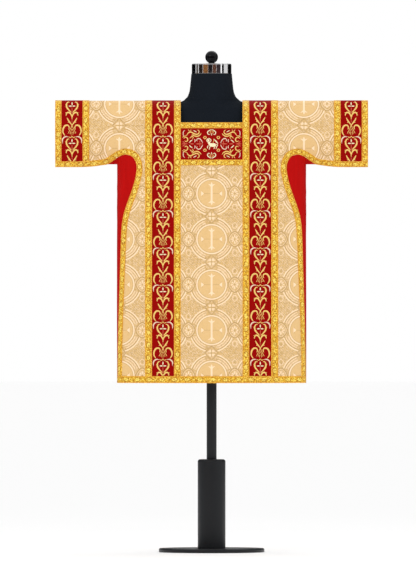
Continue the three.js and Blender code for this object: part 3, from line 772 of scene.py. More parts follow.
def galloon_finish():
    """Braid: the uv runs along it and, from its middle, across it."""
    tints = colours()
    gold, gold_light, gold_dark, gold_edge = (
        tuple(tint) for tint in (tints.gold, tints.gold_light, tints.gold_dark, tints.gold_edge))
    finish = Finish("gold_braid", Roughness=0.42, Metallic=0.1, Specular_IOR_Level=0.3)
    u, v = finish.cloth_place()
    repeat = cloth().galloon_repeat / MM
    far = v.math("ABSOLUTE")
    along, across = u.wrapped(repeat) / MEDALLION[0], v / MEDALLION[1]
    medallion = along.length_with(across)
    turn = across.math("ARCTAN2", along)
    petals = medallion.below(0.86, 0.08) * ((turn * MEDALLION_PETALS).math("COSINE") * 0.5 + 0.6)
    between = (u + repeat / 2).wrapped(repeat).math("ABSOLUTE")
    diamond = (between / DIAMOND[0] + far / DIAMOND[1]).below(1, 0.12)
    vine = (v - (u * (2 * math.pi / repeat) * VINE_WAVES).math("SINE") * VINE_SWING).math("ABSOLUTE")
    fleck = finish.noise(4.0, detail=2)
    patch = finish.noise(9, detail=2)
    broken = ((patch - 0.5) * 5 + 0.75).most(0).least(1)
    worn = ((fleck * -1 + 0.5) * 6 + 0.9).most(0.3).least(1)
    light = any_of(petals, diamond * 0.7)
    dark = any_of(
        medallion.on_line(1.02, 0.13, 0.06) * broken, medallion.below(0.18, 0.06) * 0.8,
        vine.below(0.8) * medallion.over(1.1, 0.1) * broken, far.on_line(EDGE_SHADE, 0.6) * broken,
    )
    base = finish.mix(fleck.specks(0.47, 6, 0.8), gold, gold_dark)
    base = finish.mix(fleck.specks(0.47, -7, 0.9), base, gold_light)
    base = finish.mix(dark * 0.8, base, gold_dark)
    base = finish.mix(light * worn, base, gold_light)
    base = finish.mix(far.on_line(EDGE_CORD, 1.3) * 0.6, base, gold_edge)
    finish.colour(base)
    twist = ribs(u + v * 0.6, 1.4)
    finish.bump(light * 0.9 - dark * 0.7 + twist * 0.35 + far.on_line(EDGE_RIDGE, 0.8) * 0.6, 0.5, 0.8)
    return finish.material


def thread_finish(name, tint, metallic):
    """Satin stitch: threads lie across the stroke, whose uv runs along and across it."""
    finish = Finish(name, Roughness=0.42, Metallic=metallic, Specular_IOR_Level=0.3)
    u, v = finish.cloth_place()
    threads = ribs(u + v * 0.25, 0.9)
    tone = finish.noise(4, detail=1)
    # Partly painted shade: the colour darkens in the grooves between the thread ribs that the bump raises
    # and is lighter on their tops. The noise adds a random tone.
    finish.colour(finish.mix(threads * 0.5 + tone * 0.4, shade(tint, 0.80), shade(tint, 1.06)))
    finish.bump(threads, 0.18, 0.6)
    return finish.material


def jersey_finish():
    """Knitted cover of the form."""
    finish = Finish("form_jersey", Roughness=0.9, Specular_IOR_Level=0.08)
    tint = tuple(colours().jersey)
    u, v = finish.cloth_place()
    knit = ribs(u, 1.6) * 0.6 + ribs(v + ribs(u, 1.6) * 0.8, 1.9) * 0.4
    tone = finish.noise(60, detail=2)
    # Partly painted shade: the colour darkens in the hollows of the knit that the bump raises and is
    # lighter on the loops. The noise adds a random tone.
    finish.colour(finish.mix(knit * 0.35 + tone * 0.4, shade(tint, 0.7), shade(tint, 1.25)))
    finish.bump(knit, 0.22, 0.6)
    return finish.material


def hard_finish(name, tint, metallic, roughness, scuff, gloss=0.5):
    """Polished or painted surface, with faint wear in its tone and gloss."""
    finish = Finish(name, Metallic=metallic, Specular_IOR_Level=gloss)
    wear = finish.noise(22, detail=4)
    finish.colour(finish.mix(wear, shade(tint, 0.92), shade(tint, 1.08)))
    finish.roughness((wear - 0.5) * scuff + roughness)
    return finish.material


# Kinds of embroidery thread, each with how metallic it is.
THREADS = {"gold": 0.2, "cream": 0.0, "silver": 0.15, "rose": 0.0}
FINISHES = {}


def make_finish(name):
    """A new material of the given name."""
    tints = colours()
    if name.startswith("thread_"):
        return thread_finish(name, tuple(getattr(tints, name)), THREADS[name.replace("thread_", "")])
    return {
        "brocade": brocade_finish,
        "lining": lambda: satin_finish("lining", tuple(tints.lining), 0.7, 0.5),
        "red_satin": lambda: satin_finish("red_satin", tuple(tints.satin), 0.6, 0.42),
        "orphrey_red": lambda: satin_finish("orphrey_red", tuple(tints.orphrey), 1.1, 0.55),
        "gold_braid": galloon_finish,
        "form_jersey": jersey_finish,
        "chrome": lambda: hard_finish("chrome", (0.62, 0.62, 0.63), 1.0, 0.08, 0.04),
        "black_gloss": lambda: hard_finish("black_gloss", (0.003, 0.003, 0.004), 0.0, 0.06, 0.03, 0.16),
        "stand_black": lambda: hard_finish("stand_black", (0.010, 0.011, 0.013), 0.1, 0.42, 0.12, 0.25),
    }[name]()


def finish_of(name):
    """The named material, made when it is first asked for."""
    if name not in FINISHES:
        FINISHES[name] = make_finish(name)
    return FINISHES[name]


# ---------- panels ----------
def half_panel_grids(half, side, step):
    """Pattern grids of one half of the front or back, with the neck left open."""
    neck = NECK_FRONT if side == FRONT else NECK_BACK
    upper = shoulder_drops(neck, step)
    lower = refine([neck, PEAK_DROP], step)
    columns = refine([0, NECK_HALF, CLAVUS["end"], PEAK_X], step)
    beyond_neck = columns[columns >= NECK_HALF - 1e-9]
    blocks = [np.stack(np.meshgrid(beyond_neck, upper), -1), np.stack(np.meshgrid(columns, lower), -1)]
    rows = side_rows(step)
    edge, inner = edge_below(rows)
    edge[0], inner[0] = EDGE_OUTER[PEAK], EDGE_INNER[PEAK]
    # The columns keep their shares below the armhole, where the panel's width changes.
    middle = np.stack([np.zeros(len(rows)), rows], -1)
    blocks.append(grid(middle, inner, columns / PEAK_X))
    blocks.append(grid(inner, edge, np.linspace(0, 1, BORDER_POINTS)))
    drops = np.concatenate([upper[:-1], lower])
    far_columns = refine([PEAK_X, SIDE, GUSSET_TIP_X, REACH], step)
    sleeve_edge, sleeve_inner = edge_beyond(far_columns)
    sleeve_edge[0], sleeve_inner[0] = EDGE_OUTER[PEAK], EDGE_INNER[PEAK]
    top = np.stack([far_columns, np.zeros(len(far_columns))], -1)
    blocks.append(grid(top, sleeve_inner, drops / PEAK_DROP))
    blocks.append(grid(sleeve_inner, sleeve_edge, np.linspace(0, 1, BORDER_POINTS)))
    return [block * (half, side) for block in blocks]


def pattern_uv(points):
    """Half way between the pattern's drops and the lengths down the cloth, which part near the shoulder."""
    x, drop = points[..., 0], points[..., 1]
    return np.stack([x, (cloth_length(x, drop) + np.abs(drop)) / 2], -1)


def panel(side):
    """The brocade front or back, with its half of both sleeves."""
    grids = [g for half in (LEFT, RIGHT) for g in half_panel_grids(half, side, cloth().panel_step)]
    name = SIDE_NAMES[side]
    finishes = [finish_of("brocade"), finish_of("lining")]
    uvs = [pattern_uv(points) for points in grids]
    piece = cloth_shell(f"{name}_panel", grids, uvs, -cloth().panel_wall, 0, finishes)
    shoulder_run = -float(cloth_length(np.array([CLAVUS["end"]]), np.array([0.0]))[0])
    dress(piece, [name], (2 * REACH, LENGTH + shoulder_run))


# ---------- gussets ----------
GUSSET_POINTS = 12  # points from a seam to the fold
# Slight ripples in the loose satin: height, pitch, and the drop over which they set in.
RIPPLE, RIPPLE_PITCH, RIPPLE_START = 0.0008, 0.031, 0.15


def gusset_lines(step):
    """The gusset's cut edge and its fold, as matching pattern points."""
    columns = refine([GUSSET_TIP_X, SIDE, PEAK_X], step)
    edge, _ = edge_beyond(columns)
    tip_x = edge[0, 0]
    fold_x = SIDE + (tip_x - SIDE) * (edge[:, 0] - PEAK_X) / (tip_x - PEAK_X)
    fold = np.stack([fold_x, sleeve_edge_drop(fold_x)], -1)
    rows = side_rows(step)
    side_edge, _ = edge_below(rows)
    side_edge[0] = edge[-1] = EDGE_OUTER[PEAK]
    fold[-1] = (SIDE, UNDERARM_DROP)
    first = side_edge[0, 1]
    share = np.clip((side_edge[:, 1] - first) / (LEVEL_DROP - first), 0, 1)
    level = np.maximum(side_edge[:, 1], UNDERARM_DROP + share * (LEVEL_DROP - UNDERARM_DROP))
    side_fold = np.stack([np.full(len(rows), SIDE), level], -1)
    cut, folded = np.vstack([edge[:-1], side_edge]), np.vstack([fold[:-1], side_fold])
    gap = GUSSET_GAP / np.maximum(GUSSET_GAP, np.linalg.norm(folded - cut, axis=1, keepdims=True))
    return cut + (folded - cut) * gap, folded


def mean_normals(vertices, quads):
    """Outward direction at each vertex, as the mean of the quads round it."""
    a, b, c, d = (vertices[quads[:, k]] for k in range(4))
    across = unit(np.cross(c - a, d - b))
    total = np.zeros_like(vertices)
    for k in range(4):
        np.add.at(total, quads[:, k], across)
    return unit(total)


def gusset(half):
    """The satin between front and back, folded at the side and round the underarm."""
    cut, folded = gusset_lines(cloth().panel_step)
    eased = np.linspace(0, 1, GUSSET_POINTS)
    x = cut[:, :1] + (folded - cut)[:, :1] * np.sin(eased * math.pi / 2)
    drop = cut[:, 1:] + (folded - cut)[:, 1:] * eased
    sheets = []
    for side in (FRONT, BACK):
        deep = depth(x, drop, side) + SEAM
        deep[:, -1] = 0
        sheets.append(np.stack([half * x, -side * deep, SHOULDER_HEIGHT - drop], -1))
    surface = np.concatenate([sheets[0], sheets[1][:, -2::-1]], axis=1)
    count = surface.shape[0] * surface.shape[1]
    quads = quads_of(np.arange(count).reshape(surface.shape[:2]))
    quads = quads if half == LEFT else quads[:, ::-1]
    places = surface.reshape(-1, 3)
    out = mean_normals(places, quads)
    runs = np.cumsum(np.linalg.norm(np.diff(surface, axis=1, prepend=surface[:, :1]), axis=-1), axis=1)
    drops = SHOULDER_HEIGHT - surface[..., 2]
    uv = np.stack([runs, drops], -1).reshape(-1, 2)

    # The ripples run down from the underarm and die away at the seams.
    middle = np.sin(np.linspace(0, math.pi, surface.shape[1]))
    wave = RIPPLE * np.sin(runs * 2 * math.pi / RIPPLE_PITCH + 0.7 * half)
    ripple = (wave * middle * smooth((drops - UNDERARM_DROP) / RIPPLE_START)).reshape(-1, 1)
    outer, inner = ripple - RIPPLE, ripple - RIPPLE - cloth().gusset_wall
    vertices = np.vstack([places + out * outer, places + out * inner])
    faces = thicken(quads, count)
    name = f"gusset_{HALF_NAMES[half]}"
    satin = [finish_of("red_satin")]
    piece = new_object(f"side_{name}", vertices, np.vstack(faces), satin, None, np.vstack([uv, uv]))
    piece["outer_area"] = surface_area(vertices, faces[0])
    dress(piece, [name], (float(runs.max()), LENGTH - UNDERARM_DROP + GUSSET_TIP_RUN))


# ---------- bands and braids ----------
BRAID_SHARES, BRAID_RELIEF = np.array((  # share across the braid, and its relief there in millimetres
    (0, -0.45), (0.03, -0.12), (0.09, 0.0), (0.15, -0.15), (0.3, 0.0), (0.5, 0.12), (0.7, 0.0),
    (0.85, -0.15), (0.91, 0.0), (0.97, -0.12), (1, -0.45),
)).T
MEDALLION_RISE = 0.16  # millimetres that the braid's medallions stand out
MEDALLION_SHARE = 0.55  # share of the braid's half width that they take up
BAND_SHARES = np.linspace(0, 1, 5)
APPAREL_SHARES = np.linspace(0, 1, 14)
TRIM_STEP = 0.005


def over_shoulder(start_x, end_x, half, shares):
    """Grid of a strip from the hem braid of the front, over the shoulder line, to that of the back."""
    down = shoulder_drops(LENGTH - HEM_BRAID, TRIM_STEP)
    drops = np.concatenate([down[::-1], -down[1:]])
    first = np.stack([np.full(len(drops), half * start_x), drops], -1)
    last = np.stack([np.full(len(drops), half * end_x), drops], -1)
    return grid(first, last, shares)


def sleeve_strip(start_x, end_x, half, shares):
    """Grid of a strip round the sleeve, which ends on the edge braid's inner side."""
    xs = start_x + (end_x - start_x) * shares
    _, inner = edge_beyond(xs)
    base = shoulder_drops(PEAK_DROP, TRIM_STEP)
    drops = np.concatenate([base[::-1], -base[1:]]) / PEAK_DROP
    drop = drops[:, None] * inner[None, :, 1]
    return np.stack([np.broadcast_to(half * xs, drop.shape), drop], -1)


def strip_uv(points, from_shoulder=False):
    """Lengths along a strip, from its start or from the shoulder line, and across it, from its middle."""
    place, _ = lift(points)
    along = run_along(place[:, place.shape[1] // 2])
    if from_shoulder:
        along = np.abs(along - np.interp(0, -points[:, 0, 1], along))
    steps = np.linalg.norm(np.diff(place, axis=1), axis=-1)
    across = np.concatenate([np.zeros((len(place), 1)), np.cumsum(steps, axis=1)], axis=1)
    across = across - across[:, -1:] / 2
    return np.stack([np.broadcast_to(along[:, None], across.shape), across], -1)


def strip_flat(points):
    """Width and length of a strip laid flat."""
    uv = strip_uv(points)
    return float(uv[..., 1].max() - uv[..., 1].min()), float(np.ptp(uv[..., 0]))


def braid(node, points, from_shoulder):
    """A strip of galloon with raised cords and medallions, in place of its solid."""
    uv = strip_uv(points, from_shoulder)
    medallion = np.cos(uv[..., 0] * 4 * math.pi / cloth().galloon_repeat)
    centre = np.maximum(0, 1 - np.abs(BRAID_SHARES * 2 - 1) / MEDALLION_SHARE)
    rise = (BRAID_RELIEF + MEDALLION_RISE * medallion * centre) * MM
    top = TRIM_GAP + cloth().braid_rise
    piece = cloth_shell(node.replace("braid", "galloon"), [points], [uv], TRIM_GAP / 2, top,
                        [finish_of("gold_braid")], [rise])
    dress(piece, [node], strip_flat(points))


def band(name, points, node):
    """A strip of red ground for embroidery, in place of its solid."""
    uv = strip_uv(points)[..., ::-1]
    top = TRIM_GAP + BAND_RISE
    piece = cloth_shell(name, [points], [uv], TRIM_GAP / 2, top, [finish_of("orphrey_red")])
    dress(piece, [node], strip_flat(points))


def edge_strip(half, side):
    """Grid of a braid along the sleeve's lower edge, the armhole and the side, down to the hem braid."""
    start = int(np.flatnonzero(EDGE_OUTER[:, 0] <= REACH)[0])
    end = int(np.flatnonzero(EDGE_INNER[:, 1] >= LENGTH - HEM_BRAID)[0])
    run = run_along(EDGE_OUTER[start:end])
    at = np.linspace(0, run[-1], math.ceil(run[-1] / TRIM_STEP))
    first, last = (at_each(at, run, line[start:end]) for line in (EDGE_INNER, EDGE_OUTER))
    first[0] = (REACH, first[0, 1])
    return grid(first, last, BRAID_SHARES) * (half, side)


def level_strip(half_width, top, bottom, side, shares):
    """Grid of a level strip across the front or back."""
    count = math.ceil(2 * half_width / TRIM_STEP)
    across = np.linspace(-1, 1, count) * half_width
    first, last = (np.stack([across, np.full(count, drop)], -1) for drop in (top, bottom))
    return grid(first, last, shares) * (1, side)


def braid_strips():
    """Every braid's node and strip, and whether its ornament is counted from the shoulder line."""
    for half in (LEFT, RIGHT):
        name = HALF_NAMES[half]
        for place, end in (("inner", "red"), ("outer", "end")):
            strip = over_shoulder(CLAVUS[place], CLAVUS[end], half, BRAID_SHARES)
            yield f"clavus_{place}_braid_{name}", strip, True
            strip = sleeve_strip(CUFF_BAND[place], CUFF_BAND[end], half, BRAID_SHARES)
            yield f"cuff_{place}_braid_{name}", strip, True
        for side in (FRONT, BACK):
            yield f"edge_braid_{SIDE_NAMES[side]}_{name}", edge_strip(half, side), False
    for side in (FRONT, BACK):
        strip = level_strip(HEM_HALF, LENGTH - HEM_BRAID, LENGTH, side, BRAID_SHARES)
        yield f"hem_braid_{SIDE_NAMES[side]}", strip, False
    for node, top, side in (("neck_braid_front", NECK_FRONT, FRONT), ("neck_braid_back", NECK_BACK, BACK),
                            ("apparel_braid", APPAREL[1], FRONT)):
        yield node, level_strip(NECK_HALF, top, top + EDGE_BRAID, side, BRAID_SHARES), False


# ---------- embroidery ----------
# Strokes of thread: across and down in millimetres, from a heart's middle on the bands and from the middle
# of the apparel. "mirror" repeats a stroke across (x), down (y), or both (xy).
STROKE_COLUMNS = ("thread", "width", "taper", "mirror", "points")


def strokes(*rows):
    """Strokes by the names of their columns."""
    return [dict(zip(STROKE_COLUMNS, row)) for row in rows]


BAND_SCROLL = strokes(
    # heart with a trefoil
    ("gold", 6.4, "tail", "x", ((9, -17), (15, -17.5), (20, -9), (19, 2), (12, 12), (2, 22))),
    ("gold", 2.4, "leaf", "x", ((18, -6), (22, -7), (25, -9))),
    ("cream", 5.2, "leaf", "", ((0, -18), (0, -12), (0, -5))),
    ("cream", 5.2, "leaf", "x", ((0, -2), (6, -2), (12.5, -2))),
    ("rose", 2.8, "line", "", ((0, 2), (0, 12), (0, 25))),
    # curling pair of leaves on a stem
    ("gold", 6.2, "tail", "x", ((0, 40), (3, 30), (9, 22.5), (16, 21.5), (20.5, 27), (21, 34))),
    ("gold", 2.4, "leaf", "x", ((17, 25), (21, 22), (24.5, 22))),
    ("gold", 3.4, "leaf", "", ((0, 30), (0, 40), (0, 49))),
    ("rose", 2.2, "line", "", ((0, 44), (0, 51), (0, 58))),
    # crossing leaves with spurs
    ("gold", 5.8, "tail", "x", ((18, 40), (14, 48), (8, 57), (0, 67))),
    ("gold", 3.0, "leaf", "x", ((15.5, 57.5), (12, 57), (8.5, 53))),
    # knot and the two legs of the ribbon
    ("gold", 3.4, "leaf", "x", ((3.5, 61), (0, 67), (-3.5, 75))),
    ("gold", 2.4, "line", "x", ((1, 71), (7, 83), (14.5, 97))),
    ("gold", 1.8, "line", "x", ((0, 79), (4, 88), (8.5, 98))),
    ("gold", 2.4, "leaf", "x", ((1, 91), (3.5, 95), (3, 102))),
    # big scrolls, crescents and the curls between them
    ("gold", 6.6, "tail", "x", ((13, 83), (10, 76), (14, 68), (24, 68.5), (31, 78), (32.5, 92), (25, 105))),
    ("silver", 5.6, "leaf", "x", ((12, 109), (24, 108), (33.5, 116), (34, 132))),
    ("gold", 3.0, "line", "x", ((0, 105), (5, 111), (12.5, 108))),
)
APPAREL_SCROLL = strokes(
    # corner leaves and scrolls
    ("gold", 5.0, "tail", "xy", ((37, -38), (43, -31), (52, -27), (62, -29), (70, -35))),
    ("gold", 5.2, "tail", "xy",
     ((52, -51), (45, -46), (46, -38), (54, -34), (64, -37), (74, -42), (83, -40), (90, -29))),
    ("cream", 3.6, "leaf", "xy", ((53, -42), (59, -45), (66, -49))),
    ("gold", 3.0, "leaf", "xy", ((73, -41), (75, -47), (73, -52))),
    ("gold", 3.0, "leaf", "xy", ((79, -42), (81, -47), (85, -52))),
    ("silver", 3.4, "tail", "xy", ((96, -50), (101, -44), (102, -35), (100, -27))),
    ("gold", 3.6, "leaf", "xy", ((88, -30), (97, -28), (106, -23))),
    ("gold", 4.6, "tail", "xy", ((101, -19), (94, -24), (87, -20), (86, -12), (92, -8), (97, -12))),
    ("gold", 3.6, "leaf", "xy", ((64, -29), (72, -26), (79, -19))),
    ("gold", 3.2, "tail", "xy", ((72, -33), (66, -24), (69, -17))),
    ("cream", 4.2, "leaf", "xy", ((68, -15), (74, -11), (81, -4))),
    ("silver", 3.8, "tail", "xy", ((62, -17), (59, -12), (61, -5))),
    ("rose", 4.4, "leaf", "x", ((63, 0), (70, 0), (78, 0))),
    ("rose", 5.0, "leaf", "x", ((86, 0), (96, 0), (107, 0))),
    ("rose", 4.6, "leaf", "xy", ((96, -2), (99, -6), (105, -8))),
    # silver pairs with a small flower between them
    ("silver", 4.2, "tail", "xy", ((51, -9), (54, -14), (49, -19), (42, -18), (36, -11), (32, -2))),
    ("rose", 4.6, "leaf", "x", ((33, 0), (44, 0), (57, 0))),
    ("rose", 3.4, "leaf", "xy", ((44, -2), (42, -7), (44, -12))),
    # heart-shaped flowers above and below the lamb
    ("cream", 4.0, "tail", "xy", ((0, -52), (8, -48), (14.5, -42), (12, -34), (5, -35))),
    ("gold", 2.6, "leaf", "xy", ((0, -48), (6, -43), (2, -36))),
    ("rose", 2.6, "leaf", "y", ((0, -49), (0, -43), (0, -37))),
    ("cream", 3.4, "leaf", "y", ((0, -39), (0, -34), (0, -29))),
    # lozenges
    ("gold", 3.4, "line", "xy", ((24, -28), (29, -23), (24, -18), (19, -23), (24, -28))),
)
LAMB = strokes(
    ("gold", 1.6, "line", "", ((3, 12), (5, 0), (8, -17), (9, -20))),
    ("cream", 5.4, "leaf", "", ((7, -17), (14, -11), (24, 1))),
    ("cream", 3.2, "line", "", ((-10, -21), (-2, -13), (-10, -5), (-18, -13), (-10, -21))),
    ("cream", 9.0, "round", "", ((-7, -13), (-11, -13), (-15, -11))),
    ("cream", 14.5, "round", "", ((-9, 3), (2, 4), (16, 4))),
    ("cream", 9.5, "round", "", ((-6, 4), (-9, -3), (-10, -9))),
    ("cream", 3.6, "line", "", ((-10, 6), (-15, 10), (-14, 17))),
    ("cream", 3.4, "line", "", ((-5, 8), (-7, 14), (-9, 21))),
    ("cream", 3.6, "line", "", ((8, 7), (10, 13), (8, 19))),
    ("cream", 3.4, "line", "", ((14, 6), (18, 11), (15, 18))),
    ("cream", 3.8, "leaf", "", ((16, 1), (21, 4), (20, 10))),
)
STROKE_STEP = 2.6
FEWEST_STEPS = 4  # shorter strokes are left out
FULL_HALF = 1.6  # half width, in millimetres, at which a stroke stands out in full
# Section of a stroke: place across it, and its height.
STROKE_SECTION = np.array(((-1, 0), (-0.62, 0.74), (0, 1), (0.62, 0.74), (1, 0), (1, -0.3), (-1, -0.3)))


def taper(kind, share):
    """Share of the full width along a stroke."""
    ends = np.sqrt(np.clip(np.minimum(share, 1 - share) / 0.06, 0.02, 1))
    return {
        "line": ends,
        "round": np.sqrt(np.clip(1 - (2 * share - 1) ** 4, 0.01, 1)),
        "leaf": np.maximum(0.05, np.sin(np.pi * np.clip(share, 0.01, 0.99)) ** 0.75),
        "tail": ends * (0.45 + 0.55 * np.sin(np.pi * np.clip(share * 0.9 + 0.05, 0, 1)) ** 1.2),
    }[kind]


def stroke_copies(stroke):
    """The points of a stroke and of its mirror images."""
    flips = {"": ((1, 1),), "x": ((1, 1), (-1, 1)), "y": ((1, 1), (1, -1)),
             "xy": ((1, 1), (-1, 1), (1, -1), (-1, -1))}
    for flip in flips[stroke["mirror"]]:
        yield np.array(stroke["points"], dtype=float) * flip


def stroke_line(points):
    """Even steps along a stroke's middle line, the way across it, and the lengths along it."""
    fine = centripetal_curve(points, 12)
    run = run_along(fine)
    at = np.linspace(0, run[-1], max(FEWEST_STEPS, math.ceil(run[-1] / STROKE_STEP) + 1))
    line = at_each(at, run, fine)
    along = unit(np.gradient(line, axis=0))
    return line, np.stack([-along[:, 1], along[:, 0]], -1), at


class Embroidery:
    """Strokes of thread gathered into one mesh on the worn cloth."""

    def __init__(self, base):
        self.base = base
        self.vertices, self.faces, self.kinds, self.uv = [], [], [], []

    def add(self, stroke, points, to_pattern, keep):
        """One stroke; to_pattern lays its millimetres on the pattern, and keep says which of them show."""
        line, across, at = stroke_line(points)
        shown = keep(line)
        if shown.sum() < FEWEST_STEPS:
            return
        first = int(np.argmax(shown))
        last = first + int(np.argmin(np.append(shown[first:], False)))
        if last - first < FEWEST_STEPS:
            return
        half_width = cloth().thread_weight * stroke["width"] / 2 * taper(stroke["taper"], at / at[-1])
        sides, heights = STROKE_SECTION.T
        offsets = sides[None, :, None] * half_width[:, None, None] * across[:, None, :]
        flat = (line[:, None, :] + offsets)[first:last]
        place, out = lift(to_pattern(flat))
        fullness = np.minimum(1, half_width / FULL_HALF)[first:last, None]
        height = self.base + cloth().thread_rise * heights * fullness
        vertices = place + out * height[..., None]
        rows, columns = vertices.shape[:2]
        start = sum(len(v) for v in self.vertices)
        number = np.arange(rows * columns).reshape(rows, columns)
        ring = np.concatenate([number, number[:, :1]], axis=1)
        quads = quads_of(ring)
        a, b, c, d = vertices.reshape(-1, 3)[quads[columns // 2 - 1]]
        turned = np.dot(np.cross(c - a, d - b), out[0, 2]) < 0
        faces = [*quads.tolist(), number[0].tolist(), number[-1][::-1].tolist()]
        if turned:
            faces = [face[::-1] for face in faces]
        self.faces += [[i + start for i in face] for face in faces]
        self.kinds += [list(THREADS).index(stroke["thread"])] * len(faces)
        self.vertices.append(vertices.reshape(-1, 3))
        along = np.broadcast_to(at[first:last, None], (rows, columns))
        uv = np.stack([along, sides * half_width[first:last, None]], -1)
        self.uv.append(uv.reshape(-1, 2) * MM)

    def finish(self, name):
        """All the strokes so far as one piece."""
        finishes = [finish_of(f"thread_{thread}") for thread in THREADS]
        vertices, uv = np.vstack(self.vertices), np.vstack(self.uv)
        piece = new_object(name, vertices, self.faces, finishes, self.kinds, uv, 50)
        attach(piece, "root")


def scroll_repeat(work, half, side, middle_x, heart, start, stretch, end):
    """One repeat of the scroll, with its heart at a drop and at a length down the cloth."""
    def drop_at(down):
        along_cloth = drop_of_length(middle_x, start + stretch * down * MM)
        return (along_cloth + heart + down * MM) / 2

    def to_pattern(flat):
        return np.stack([half * (middle_x + flat[..., 0] * MM), side * drop_at(flat[..., 1])], -1)

    def keep(line):
        return (drop_at(line[:, 1]) > MM) & (drop_at(line[:, 1]) < end - 0.5 * MM)

    for stroke in BAND_SCROLL:
        for points in stroke_copies(stroke):
            work.add(stroke, points, to_pattern, keep)


def band_scroll(name, middle_x, half, end):
    """The scroll down a band on the front and, the other way, down its back."""
    work = Embroidery(TRIM_GAP + BAND_RISE)
    repeat = cloth().scroll_repeat
    hearts = np.arange(cloth().scroll_start, end, repeat)
    starts = cloth_length(np.full(len(hearts), middle_x), hearts)
    stretches = np.diff(starts, append=starts[-1] + repeat) / repeat
    for side in (FRONT, BACK):
        for heart, start, stretch in zip(hearts, starts, stretches):
            scroll_repeat(work, half, side, middle_x, heart, start, stretch, end)
    work.finish(name)


def apparel_scroll():
    """The lamb and the scrolls round it."""
    work = Embroidery(TRIM_GAP + BAND_RISE)
    middle = sum(APPAREL) / 2

    def to_pattern(flat):
        return np.stack([flat[..., 0] * MM, middle + flat[..., 1] * MM], -1)

    def keep(line):
        return np.ones(len(line), dtype=bool)

    for stroke in APPAREL_SCROLL + LAMB:
        for points in stroke_copies(stroke):
            work.add(stroke, points, to_pattern, keep)
    work.finish("apparel_embroidery")


# ---------- stitches ----------
STITCH_SHARES = (0.045, 0.955)
STITCH_HALF = np.array((1.35, 0.30, 0.26)) * MM  # along, across and out
STITCH_SINK = 0.12 * MM
STITCH_TIPS = np.array(((1, 0, 0), (0, 1, 0), (-1, 0, 0), (0, -1, 0), (0, 0, 1), (0, 0, -1)))
STITCH_FACES = np.array([(a, b, 4) for a, b in ((0, 1), (1, 2), (2, 3), (3, 0))]
                        + [(b, a, 5) for a, b in ((0, 1), (1, 2), (2, 3), (3, 0))])


def stitch_rows(name, strips):
    """A row of stitches along both edges of each strip, as one mesh."""
    vertices, faces = [], []
    pitch = cloth().stitch_pitch
    height = TRIM_GAP + cloth().braid_rise - STITCH_SINK
    for points in strips:
        for share in STITCH_SHARES:
            at = share * (points.shape[1] - 1)
            low = min(int(at), points.shape[1] - 2)
            line = points[:, low] * (1 - at + low) + points[:, low + 1] * (at - low)
            run = run_along(lift(line)[0])
            spots = np.arange(pitch, run[-1] - pitch, pitch)
            place, out = lift(at_each(spots, run, line))
            along = unit(lift(at_each(spots + 0.5 * MM, run, line))[0] - place)
            across = unit(np.cross(out, along))
            axes = np.stack([along, across, out], 1) * STITCH_HALF[None, :, None]
            corners = (place + out * height)[:, None, :] + np.einsum("kj,njc->nkc", STITCH_TIPS, axes)
            start = sum(len(v) for v in vertices)
            vertices.append(corners.reshape(-1, 3))
            first = np.arange(len(spots))[:, None, None] * len(STITCH_TIPS)
            faces.append((first + STITCH_FACES[None]).reshape(-1, 3) + start)
    piece = new_object(name, np.vstack(vertices), np.vstack(faces), [finish_of("thread_gold")], sharp=80)
    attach(piece, "root")


# ---------- dress form and stand ----------
# Sections of the form: drop, half width, half depth, and roundness (2 is an ellipse, and more is squarer).
FORM_SECTIONS = np.array((
    (-0.097, 0.072, 0.0655, 2), (-0.070, 0.0745, 0.0665, 2), (-0.042, 0.0775, 0.0675, 2),
    (-0.020, 0.0835, 0.068, 1.9), (-0.006, 0.094, 0.068, 1.65), (0.005, 0.111, 0.068, 1.45),
    (0.014, 0.141, 0.068, 1.4), (0.026, 0.172, 0.069, 1.6), (0.042, 0.190, 0.071, 1.9),
    (0.064, 0.200, 0.081, 2.1), (0.098, 0.203, 0.096, 2.2), (0.150, 0.194, 0.108, 2.3),
    (0.220, 0.180, 0.114, 2.3), (0.320, 0.168, 0.108, 2.3), (0.430, 0.156, 0.099, 2.3),
    (0.540, 0.165, 0.104, 2.3), (0.640, 0.177, 0.110, 2.3), (0.730, 0.173, 0.107, 2.3),
    (0.756, 0.164, 0.100, 2.3), (0.762, 0.150, 0.090, 2.3),
))
ROUND_STEPS = 96
ROUND = np.linspace(0, 2 * math.pi, ROUND_STEPS, endpoint=False)


def form_surface(angles):
    """Grid of places on the form, from the neck down, at angles round it."""
    fine = centripetal_curve(FORM_SECTIONS, 7)
    drop, half, deep, power = (fine[:, k][:, None] for k in range(4))
    cos, sin = np.cos(angles)[None, :], np.sin(angles)[None, :]
    x = half * np.sign(cos) * np.abs(cos) ** (2 / power)
    y = deep * np.sign(sin) * np.abs(sin) ** (2 / power)
    return np.stack([x, y, np.broadcast_to(SHOULDER_HEIGHT - drop, x.shape)], -1)


def closed_tube(name, surface, finish, sharp=40):
    """A closed solid from rings of places, top ring first, with flat ends."""
    rows, columns = surface.shape[:2]
    number = np.arange(rows * columns).reshape(rows, columns)
    ring = np.concatenate([number, number[:, :1]], axis=1)
    faces = [*quads_of(ring).tolist(), number[0].tolist(), number[-1][::-1].tolist()]
    around = np.cumsum(np.linalg.norm(np.diff(surface, axis=1, prepend=surface[:, :1]), axis=-1), axis=1)
    down = np.cumsum(np.linalg.norm(np.diff(surface, axis=0, prepend=surface[:1]), axis=-1), axis=0)
    uv = np.stack([around, down], -1).reshape(-1, 2)
    piece = new_object(name, surface.reshape(-1, 3), faces, [finish], None, uv, sharp)
    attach(piece, "root")
    return piece


def turned(name, profile, node, finish_name, squash=1.0):
    """A turned piece: radius and height of its profile from the top down, in place of its solid."""
    profile = np.array(profile)
    radius = profile[:, 0][:, None]
    surface = np.stack([radius * np.cos(ROUND), radius * squash * np.sin(ROUND),
                        np.broadcast_to(profile[:, 1][:, None], (len(profile), ROUND_STEPS))], -1)
    piece = closed_tube(name, surface, finish_of(finish_name))
    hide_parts(node)


